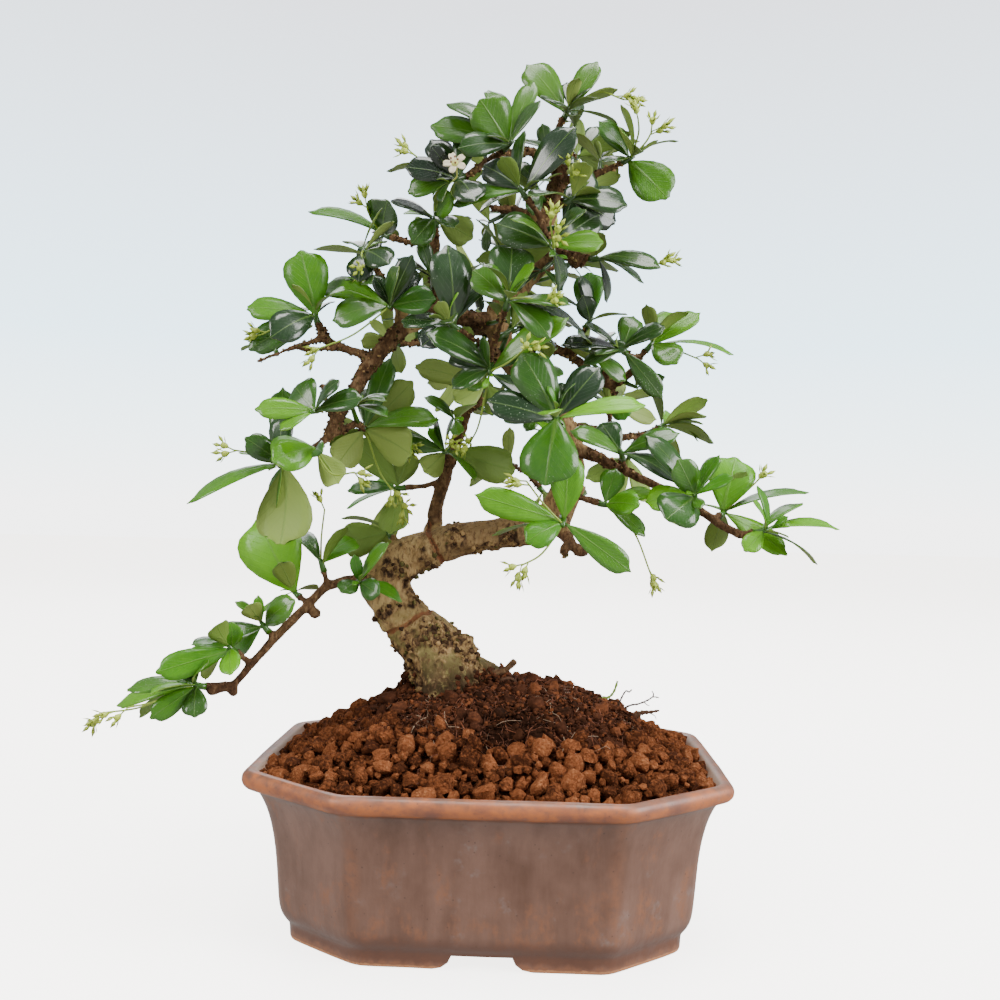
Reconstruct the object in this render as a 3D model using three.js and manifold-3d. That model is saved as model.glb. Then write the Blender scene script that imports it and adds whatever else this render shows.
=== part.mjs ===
// A fukien tea bonsai standing in its glazed eight-sided pot.
// Millimetres, +Z up. The pot is built round x = y = 0 with its foot on z = 0 and its long side to the
// front, -Y. At the end the whole tree and pot are shifted, so that the origin is the bottom centre of
// their box.

import * as THREE from 'three';
import Module from 'manifold-3d';

const wasm = await Module();
wasm.setup();

// Driving dimensions
const GAP = 0.3; // between any two pieces that touch
const SOCKET = 1.2; // room round the foot of the trunk in the soil, before its bark is smoothed
const SEED = 22;

const POT = {
  halfWidth: 85, halfDepth: 69, // rim outline
  corner: { x: 47, y: 40.5 }, // where the long side and the end stop, and the slanting side begins
  height: 60, floorBottom: 5.5, floorTop: 11.5,
  footInset: 16.5, footWidth: 9, footHeight: 5.5,
  notchTop: 10, notchBottom: 17.5, notchHeight: 5, // half widths of the notch in the foot
  drainRadius: 7, drainX: 32,
};
// Outer side of the pot, from the foot up to the rim: how far in from the rim outline, and how high
const POT_SIDE = [
  [16.5, 0], [16.2, 5.7], [15, 6.8], [13.4, 9], [12.6, 11.5], [12.2, 17.5], [11.7, 24], [10.8, 34.5],
  [8.8, 44.5], [6.6, 50], [5, 53], [2.6, 53.6], [0.8, 54.6], [0, 56.4], [0, 57.6], [0.5, 59], [1.7, 60],
];
// Inner side of the pot, from the rim down to the floor
const POT_HOLLOW = [[4, 60], [5.4, 59.3], [6, 57.8], [11, 53], [14.8, 44.5], [17, 34.5], [18.6, 17.5],
  [20.5, 11.5]];

const MESH = { halfLength: 47, halfWidth: 13, thick: 1, hole: 5, pitch: 7, rows: 2 };

const SOIL = {
  edge: 56.8, mound: 30, reachX: 80, reachY: 63, slope: 2.1, // the heap
  granule: 8, bump: 2.7, loose: 1.7,
};

const ROOT_BALL = {
  x: 3, y: -3, z: 52,
  halfLength: 62, halfDepth: 44, halfHeight: 36.5, square: 2.2, lump: 1.2,
};

const LEAF = {
  thick: 0.7, // measured along the blade's facing, so that a folded and arched blade keeps 0.6
  long: [15, 23], slender: 0.42, // length, and width to length, of the leaves laid by rule
  arch: [0.05, 0.11], fold: [0.14, 0.28],
  seat: 0.6, // how far its root lies from the middle of the green stem
};
const STEM = { base: 1.5, tip: 0.9, below: 1.6, above: 2.8, sides: 4 };
const TWIG = { root: 1.8, neck: 1.4, knuckle: 2, sides: 4, sag: 0.05, straight: 6 };
const BUD = { stalk: 0.4, radius: 1.3, long: 2.1 };
const FLOWER = { at: [-16, -36, 270.5], radius: 4, petals: 5, thick: 0.9, stalk: 0.6, cup: 1.2 };
const GOLDEN_ANGLE = 137.5;

// A seeded random number from 0 to 1
let seed = SEED;
const random = () => {
  seed = (seed * 16807) % 2147483647;
  return (seed - 1) / 2147483646;
};
const between = ([low, high]) => low + (high - low) * random();
const radians = THREE.MathUtils.degToRad;
const point = ([x, y, z]) => new THREE.Vector3(x, y, z);

// Closed surfaces and solids

function solid(positions, triangles) {
  return new wasm.Manifold(new wasm.Mesh({
    numProp: 3,
    vertProperties: new Float32Array(positions.flat()),
    triVerts: new Uint32Array(triangles.flat()),
  }));
}

// A solid between level outlines of the same number of points, counted anticlockwise from above
function loft(outlines) {
  const count = outlines[0].length;
  const triangles = [];
  for (let level = 0; level + 1 < outlines.length; level++) {
    for (let i = 0; i < count; i++) {
      const a = level * count + i;
      const b = level * count + ((i + 1) % count);
      triangles.push([a, b, b + count], [a, b + count, a + count]);
    }
  }
  const top = (outlines.length - 1) * count;
  const corners = outlines[0].map(([x, y]) => new THREE.Vector2(x, y));
  for (const [a, b, c] of THREE.ShapeUtils.triangulateShape(corners, [])) {
    triangles.push([a, c, b], [top + a, top + b, top + c]);
  }
  return solid(outlines.flat(), triangles);
}

// A three.js geometry, placed, as a solid
function solidOf(geometry, matrix = new THREE.Matrix4()) {
  const placed = geometry.clone().applyMatrix4(matrix);
  const { position } = placed.attributes;
  const places = new Map();
  const positions = [];
  const corner = (i) => {
    const at = [position.getX(i), position.getY(i), position.getZ(i)];
    const key = at.map((value) => Math.round(value * 1e4)).join();
    if (!places.has(key)) {
      places.set(key, positions.length);
      positions.push(at);
    }
    return places.get(key);
  };
  const count = placed.index ? placed.index.count : position.count;
  const triangles = [];
  for (let i = 0; i < count; i += 3) {
    const [a, b, c] = [0, 1, 2].map((k) => corner(placed.index ? placed.index.getX(i + k) : i + k));
    if (a !== b && b !== c && a !== c) triangles.push([a, b, c]);
  }
  return solid(positions, triangles);
}

const joined = (solids) => wasm.Manifold.union(solids);

// The main body of a solid, without the loose scraps and sealed hollows that a cut or a join can leave
const mainBody = (shape) => shape.decompose().sort((a, b) => b.volume() - a.volume())[0];

const facing = (direction) => new THREE.Matrix4().makeRotationFromQuaternion(
  new THREE.Quaternion().setFromUnitVectors(new THREE.Vector3(0, 0, 1), direction));

// The pot

function octagon(inset, z) {
  const { halfWidth, halfDepth, corner } = POT;
  const x = halfWidth - inset;
  const y = halfDepth - inset;
  const cutX = corner.x - inset / 3;
  const cutY = corner.y - inset / 2;
  return [[cutX, -y], [x, -cutY], [x, cutY], [cutX, y], [-cutX, y], [-x, cutY], [-x, -cutY], [-cutX, -y]]
    .map(([px, py]) => [px, py, z]);
}

// The notch in the foot, as the photo shows it: flat on top, its ends swept out to the ground
function footNotch() {
  const { notchTop, notchBottom, notchHeight, halfDepth } = POT;
  const outline = new THREE.Shape();
  outline.moveTo(-notchBottom, -1);
  outline.lineTo(notchBottom, -1);
  outline.lineTo(notchBottom, 0);
  outline.quadraticCurveTo(notchTop + 2.5, 0.8, notchTop, notchHeight);
  outline.lineTo(-notchTop, notchHeight);
  outline.quadraticCurveTo(-notchTop - 2.5, 0.8, -notchBottom, 0);
  const cut = new THREE.ExtrudeGeometry(outline, {
    depth: 2 * halfDepth, bevelEnabled: false, curveSegments: 3,
  });
  return solidOf(cut.rotateX(Math.PI / 2).translate(0, halfDepth, 0));
}

function pot() {
  const { height, footInset, footWidth, footHeight, floorBottom, floorTop, drainRadius, drainX } = POT;
  const body = loft(POT_SIDE.map(([inset, z]) => octagon(inset, z)));
  const hollow = loft([...POT_HOLLOW].reverse().map(([inset, z]) => octagon(inset, z))
    .concat([octagon(POT_HOLLOW[0][0], height + 1)]));
  const underside = loft([-1, footHeight].map((z) => octagon(footInset + footWidth, z)));
  const drains = [-drainX, drainX].map((x) => {
    const bore = new THREE.CylinderGeometry(drainRadius, drainRadius, floorTop - floorBottom + 4, 16);
    return solidOf(bore.rotateX(Math.PI / 2).translate(x, 0, (floorTop + floorBottom) / 2));
  });
  return body.subtract(joined([hollow, underside, footNotch(), ...drains]));
}

// The strip of mesh that lies over both drain holes
function drainMesh() {
  const { halfLength, halfWidth, thick, hole, pitch, rows } = MESH;
  const z = POT.floorTop + GAP + thick / 2;
  const strip = solidOf(new THREE.BoxGeometry(2 * halfLength, 2 * halfWidth, thick).translate(0, 0, z));
  const holes = [];
  for (const drain of [-POT.drainX, POT.drainX]) {
    for (let i = 0; i < rows; i++) {
      for (let j = 0; j < rows; j++) {
        const x = drain + (i - (rows - 1) / 2) * pitch;
        const y = (j - (rows - 1) / 2) * pitch;
        holes.push(solidOf(new THREE.BoxGeometry(hole, hole, 3 * thick).translate(x, y, z)));
      }
    }
  }
  return strip.subtract(joined(holes));
}

// The soil

// The top of the granule bed: level at the rim and heaped up towards the trunk
function soilHeight(x, y) {
  const { edge, mound, reachX, reachY, slope } = SOIL;
  const across = Math.max(0, 1 - Math.abs(x / reachX) ** slope);
  const along = Math.max(0, 1 - Math.abs(y / reachY) ** slope);
  return edge + mound * across * along;
}

// A block whose top is a close lattice of granules, every third point of it standing proud
function granuleBlock() {
  const { granule, bump, loose } = SOIL;
  const { halfWidth, halfDepth, floorTop } = POT;
  const rowStep = granule * Math.sqrt(3) / 2;
  const columns = Math.ceil(2 * halfWidth / granule) + 1;
  const rows = Math.ceil(2 * halfDepth / rowStep) + 1;
  const top = [];
  for (let j = 0; j < rows; j++) {
    for (let i = 0; i < columns; i++) {
      const x = -halfWidth + (i + (j % 2) / 2) * granule + loose * (random() - 0.5);
      const y = -halfDepth + j * rowStep + loose * (random() - 0.5);
      const proud = (i + 2 * (j % 2) + Math.floor(j / 2)) % 3 === 0 ? bump : 0;
      top.push([x, y, soilHeight(x, y) + proud + loose * (random() - 0.5)]);
    }
  }
  const bottom = top.map(([x, y]) => [x, y, floorTop - 1]);
  const triangles = [];
  const lay = (a, b, c) => triangles.push([a, b, c], [a + top.length, c + top.length, b + top.length]);
  for (let j = 0; j + 1 < rows; j++) {
    for (let i = 0; i + 1 < columns; i++) {
      const a = j * columns + i;
      const b = a + columns;
      if (j % 2) {
        lay(a, a + 1, b + 1);
        lay(a, b + 1, b);
      } else {
        lay(a, a + 1, b);
        lay(a + 1, b + 1, b);
      }
    }
  }
  const wall = (a, b) => triangles.push([b, a, a + top.length], [b, a + top.length, b + top.length]);
  for (let i = 0; i + 1 < columns; i++) {
    wall(i, i + 1);
    wall((rows - 1) * columns + i + 1, (rows - 1) * columns + i);
  }
  for (let j = 0; j + 1 < rows; j++) {
    wall((j + 1) * columns, j * columns);
    wall(j * columns + columns - 1, (j + 1) * columns + columns - 1);
  }
  return solid([...top, ...bottom], triangles);
}

// A lumpy, squared ellipsoid
function rootBallShape(grow) {
  const { x, y, z, halfLength, halfDepth, halfHeight, square, lump } = ROOT_BALL;
  const ball = new THREE.IcosahedronGeometry(1, 4);
  const { position } = ball.attributes;
  for (let i = 0; i < position.count; i++) {
    const way = new THREE.Vector3().fromBufferAttribute(position, i).normalize();
    const sum = ['x', 'y', 'z'].reduce((total, axis) => total + Math.abs(way[axis]) ** square, 0);
    way.multiplyScalar(sum ** (-1 / square));
    const rough = lump * Math.sin(9 * way.x + 1) * Math.sin(8 * way.y + 2) * Math.sin(10 * way.z) + grow;
    position.setXYZ(i, x + way.x * (halfLength + rough), y + way.y * (halfDepth + rough),
      z + way.z * (halfHeight + rough));
  }
  return solidOf(ball);
}

function soilBed() {
  const lift = MESH.thick + 2 * GAP;
  const room = loft([...POT_HOLLOW.slice(2)].reverse()
    .map(([inset, z]) => octagon(inset + GAP, z === POT.floorTop ? z + lift : z))
    .concat([octagon(POT_HOLLOW[2][0] + GAP, POT.height + SOIL.mound + 10)]));
  return granuleBlock().intersect(room).subtract(rootBallShape(2 * GAP)).subtract(buriedWood());
}

// The wood. Each path is a list of places along the middle of the limb with its radius there.

const LIMBS = {
  trunk: [[-13, 0, 62, 17], [-15, 0, 80, 17.5], [-17.5, 0, 91, 14.8], [-26, 0, 102.5, 10.8],
    [-36, 0, 111, 8.4], [-42, 0, 119.5, 8.8], [-40, 0, 128, 8.6], [-32, 0, 134, 7.6], [-20.5, 0, 138, 7.3],
    [-8, 0, 141, 7], [12, 0, 144, 6.9], [22, 0, 149.5, 6.8], [26.5, 0, 160, 6.4], [26.5, 0, 178, 5.8],
    [19.5, 0, 192, 5.6], [9.5, 0, 202, 5.3], [0, 0, 212.5, 5], [-1, 0, 227, 4.7], [10.5, 0, 241, 4.6],
    [16.5, 0, 251, 4.5], [16, 0, 264, 4.2], [21, 0, 277, 3.6], [21.5, 0, 287, 3], [19, -1, 295, 2.5]],
  surfaceRoot: [[-7, -7, 85, 2.4], [-1, -8, 90, 1.8], [5, -7, 91.5, 1.5], [8.5, -6, 95, 1.9]],
  lowLeft: [[-42, -2, 123.5, 3.8], [-49, -6, 124, 2.8], [-56, -8, 123.5, 2.3], [-63, -10, 121, 2.4],
    [-69, -14, 114, 2], [-79, -18, 103, 1.9], [-87, -22, 93, 1.7], [-92, -24, 86.5, 1.8],
    [-97, -26, 85.5, 2.4]],
  riser: [[-25, 3, 138, 4], [-24, 8, 152, 3.2], [-20, 4, 165, 2.9], [-16, 0, 177, 2.7], [-12, -6, 188, 2.5],
    [-8, -11, 192, 2.2]],
  riserSide: [[-20, 4, 163, 1.6], [-28, 6, 160, 1.4], [-33, 6, 159.5, 1.4]],
  leftArch: [[-1, 0, 222, 4], [-11, -6, 223, 3.8], [-22, -12, 225, 3.9], [-32, -18, 221, 3.7],
    [-37, -22, 214, 3.2], [-47, -26, 200, 2.8], [-52, -28, 190, 2.6], [-57, -30, 181, 2.4],
    [-59, -31, 175.5, 2.2]],
  archRise: [[-33, -18, 221, 3.4], [-39, -22, 228, 2.7], [-44, -24, 236, 1.9]],
  archLeft: [[-44, -24, 205, 1.9], [-53, -26, 207, 1.8], [-60, -28, 209.5, 1.9], [-63, -27, 213, 1.9]],
  archBack: [[-23, -10, 224, 2.4], [-25, -12, 236, 2.2], [-24, -14, 247, 1.8], [-24, -17, 251, 1.6]],
  archStub: [[-58, -31, 184, 1.5], [-60, -32, 189, 1.2], [-61, -33, 194, 1.5]],
  archSideStub: [[-58, -30, 177, 1.8], [-53, -28, 179, 1.5], [-50, -27, 181, 1.6]],
  cutTwig: [[-62, -28, 211, 1.3], [-74, -32, 206, 1.1], [-84, -35, 201, 1.1]],
  cutTwigUnder: [[-55, -27, 207.5, 1.3], [-62, -31, 206.5, 1.1], [-69, -34, 206, 1.3]],
  rightUpper: [[4, 2, 214, 2.8], [17, 8, 216, 2.4], [27, 12, 213, 2.2], [34, 14, 208, 2.1],
    [41, 16, 202, 2.1], [47, 16, 203, 2], [52, 14, 207, 1.9], [54, 12, 212, 1.8]],
  rightUpperStub: [[40, 15.5, 203, 2], [42, 12, 207, 2.4]],
  rightLow: [[27, -2, 176, 3.4], [38, -8, 171.5, 2.5], [44, -12, 168, 2.2], [57, -18, 162, 2],
    [69, -24, 155.5, 1.8], [80, -29, 147.5, 1.7], [86, -31, 144.5, 1.8]],
  hangingSpur: [[24, -2, 146, 3.8], [28, -9, 140, 2.7], [25, -13, 136.5, 2.3]],
  rightKnuckle: [[16, 0, 251, 2.6], [23, -4, 248.5, 2.4], [28, -6, 247, 2.9]],
  topLeft: [[20, 0, 285, 2.6], [10, -8, 286, 2.1], [-1, -16, 281.5, 1.9], [-7, -21, 276.5, 1.7],
    [-11, -24, 272, 1.6]],
  topRight: [[21, 0, 277, 2.2], [34, -6, 278, 1.7], [40, -8, 280, 1.5]],
  middleLeft: [[16, 0, 262, 3], [5, -10, 263, 2.2], [-4, -18, 261.5, 1.6]],
  frontHigh: [[0, 0, 210, 3], [-1, -12, 208, 2.4], [0, -24, 207, 2.1], [-2, -31, 208, 1.8]],
  frontMiddle: [[16, 0, 250, 2.8], [16, -12, 250, 2.2], [15, -22, 251.5, 1.9], [14, -28, 255, 1.6]],
  frontLow: [[26, 0, 166, 3.2], [26, -12, 164, 2.4], [25, -24, 160, 2.2], [24, -34, 155, 1.9]],
  frontLowRise: [[25, -20, 161.5, 2], [23, -30, 168, 1.7], [22, -38, 175, 1.5]],
  backHigh: [[8, 0, 238, 3], [10, 14, 242, 2.4], [12, 26, 247, 2], [10, 36, 253, 1.7]],
  backLeft: [[-1, 0, 221, 3], [-12, 14, 222, 2.3], [-26, 24, 222, 2], [-37, 30, 219, 1.7]],
  backLow: [[26, 0, 172, 3], [24, 14, 172, 2.4], [18, 28, 170, 2], [10, 38, 168, 1.7]],
  backRight: [[25, 2, 184, 2.8], [38, 16, 184, 2.1], [50, 26, 182, 1.8], [60, 32, 184, 1.6]],
};
// Sides round the limb, rings between two places of its path, and how knobbly its bark is
const LIMB_MAKE = {
  trunk: { sides: 9, rings: 1, wobble: 0.11 },
  leftArch: { sides: 6, rings: 1, wobble: 0.1 },
};
const PLAIN_LIMB = { sides: 5, rings: 1, wobble: 0.06 };

// Swollen places on the wood: middle and radius. The first are the flare of the trunk's foot.
const FOOT_KNOBS = [[-5, 2, 86, 8], [-27, 3, 84, 6]];
const KNOBS = [
  ...FOOT_KNOBS, [-11, -5, 98, 5.5], [-33, -19, 220, 5.4], [-66, -13, 111.5, 2.6],
  [-92, -25, 84, 2.4], [-99, -27, 85, 2.8], [32, -10.5, 137, 3.4], [42, 11, 206, 2.7], [28, -6, 246, 3.6],
  [13, -7, 262, 4.2], [17, -3, 284, 4], [24, -5, 147, 4.8], [-39, 3, 112, 4.6], [-8, -11, 191, 3],
];

// A tapering limb along a smooth curve, its ends slightly domed
function limb(places, { sides, rings, wobble }, grow = 0, dome = 0.4) {
  const curve = new THREE.CatmullRomCurve3(places.map(point), false, 'centripetal');
  const radii = new THREE.CatmullRomCurve3(places.map(([, , , r]) => new THREE.Vector3(r, 0, 0)));
  const steps = (places.length - 1) * rings;
  const positions = [];
  const side = new THREE.Vector3(0, 1, 0);
  const along = new THREE.Vector3();
  for (let k = 0; k <= steps; k++) {
    const t = k / steps;
    const middle = curve.getPoint(t);
    curve.getTangent(t, along);
    side.addScaledVector(along, -side.dot(along)).normalize();
    const up = new THREE.Vector3().crossVectors(along, side);
    const radius = radii.getPoint(t).x + grow;
    for (let i = 0; i < sides; i++) {
      const turn = 2 * Math.PI * i / sides;
      const knobbly = 1 + wobble * (Math.sin(2 * turn + 0.9 * k) + 0.7 * Math.sin(3 * turn - 1.7 * k + 1)
        + 0.6 * Math.sin(5 * turn + 2.3 * k + 2));
      const corner = middle.clone().addScaledVector(side, radius * knobbly * Math.cos(turn))
        .addScaledVector(up, radius * knobbly * Math.sin(turn));
      positions.push(corner.toArray());
    }
  }
  const tip = (t, sign) => curve.getPoint(t)
    .addScaledVector(curve.getTangent(t), sign * dome * radii.getPoint(t).x).toArray();
  positions.push(tip(0, -1), tip(1, 1));
  const triangles = [];
  const last = steps * sides;
  for (let i = 0; i < sides; i++) {
    const next = (i + 1) % sides;
    for (let k = 0; k < steps; k++) {
      const a = k * sides + i;
      const b = k * sides + next;
      triangles.push([a, b, b + sides], [a, b + sides, a + sides]);
    }
    triangles.push([next, i, last + sides], [last + i, last + next, last + sides + 1]);
  }
  return solid(positions, triangles);
}

function knob([x, y, z, radius], grow = 0) {
  const lump = new THREE.IcosahedronGeometry(1, radius > 5 ? 1 : 0);
  const { position } = lump.attributes;
  for (let i = 0; i < position.count; i++) {
    const way = new THREE.Vector3().fromBufferAttribute(position, i);
    const rough = 1 + 0.12 * Math.sin(2 * radius * way.x + x) + 0.1 * Math.sin(2.3 * radius * way.z + z);
    way.multiplyScalar(radius * rough + grow);
    position.setXYZ(i, x + way.x, y + way.y, z + way.z);
  }
  return solidOf(lump);
}

// The room that the foot of the trunk takes up in the soil
function buriedWood() {
  const foot = limb(LIMBS.trunk, limbMake('trunk'), SOCKET);
  const root = limb(LIMBS.surfaceRoot, PLAIN_LIMB, SOCKET);
  return joined([foot, root, ...FOOT_KNOBS.map((place) => knob(place, SOCKET))]);
}

const limbMake = (name) => LIMB_MAKE[name] ?? PLAIN_LIMB;
const limbSolids = Object.entries(LIMBS).map(([name, places]) => limb(places, limbMake(name)));

// The foliage. A shoot is a short green stem on the end of a woody twig, which grows from the nearest
// limb. Each leaf that the front view shows is given by its turn about +Z from +X and its rise above the
// level, in degrees, its length and width, and the way its upper side faces. More leaves are laid by
// rule, round the stem at the golden angle. A bud stalk is given by its turn, rise and length.

const FACING = {
  front: new THREE.Vector3(0, -1, 0.25),
  lean: new THREE.Vector3(0, -0.7, 0.7),
  up: new THREE.Vector3(0, -0.15, 1),
  back: new THREE.Vector3(0, 1, 0.2),
};

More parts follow.
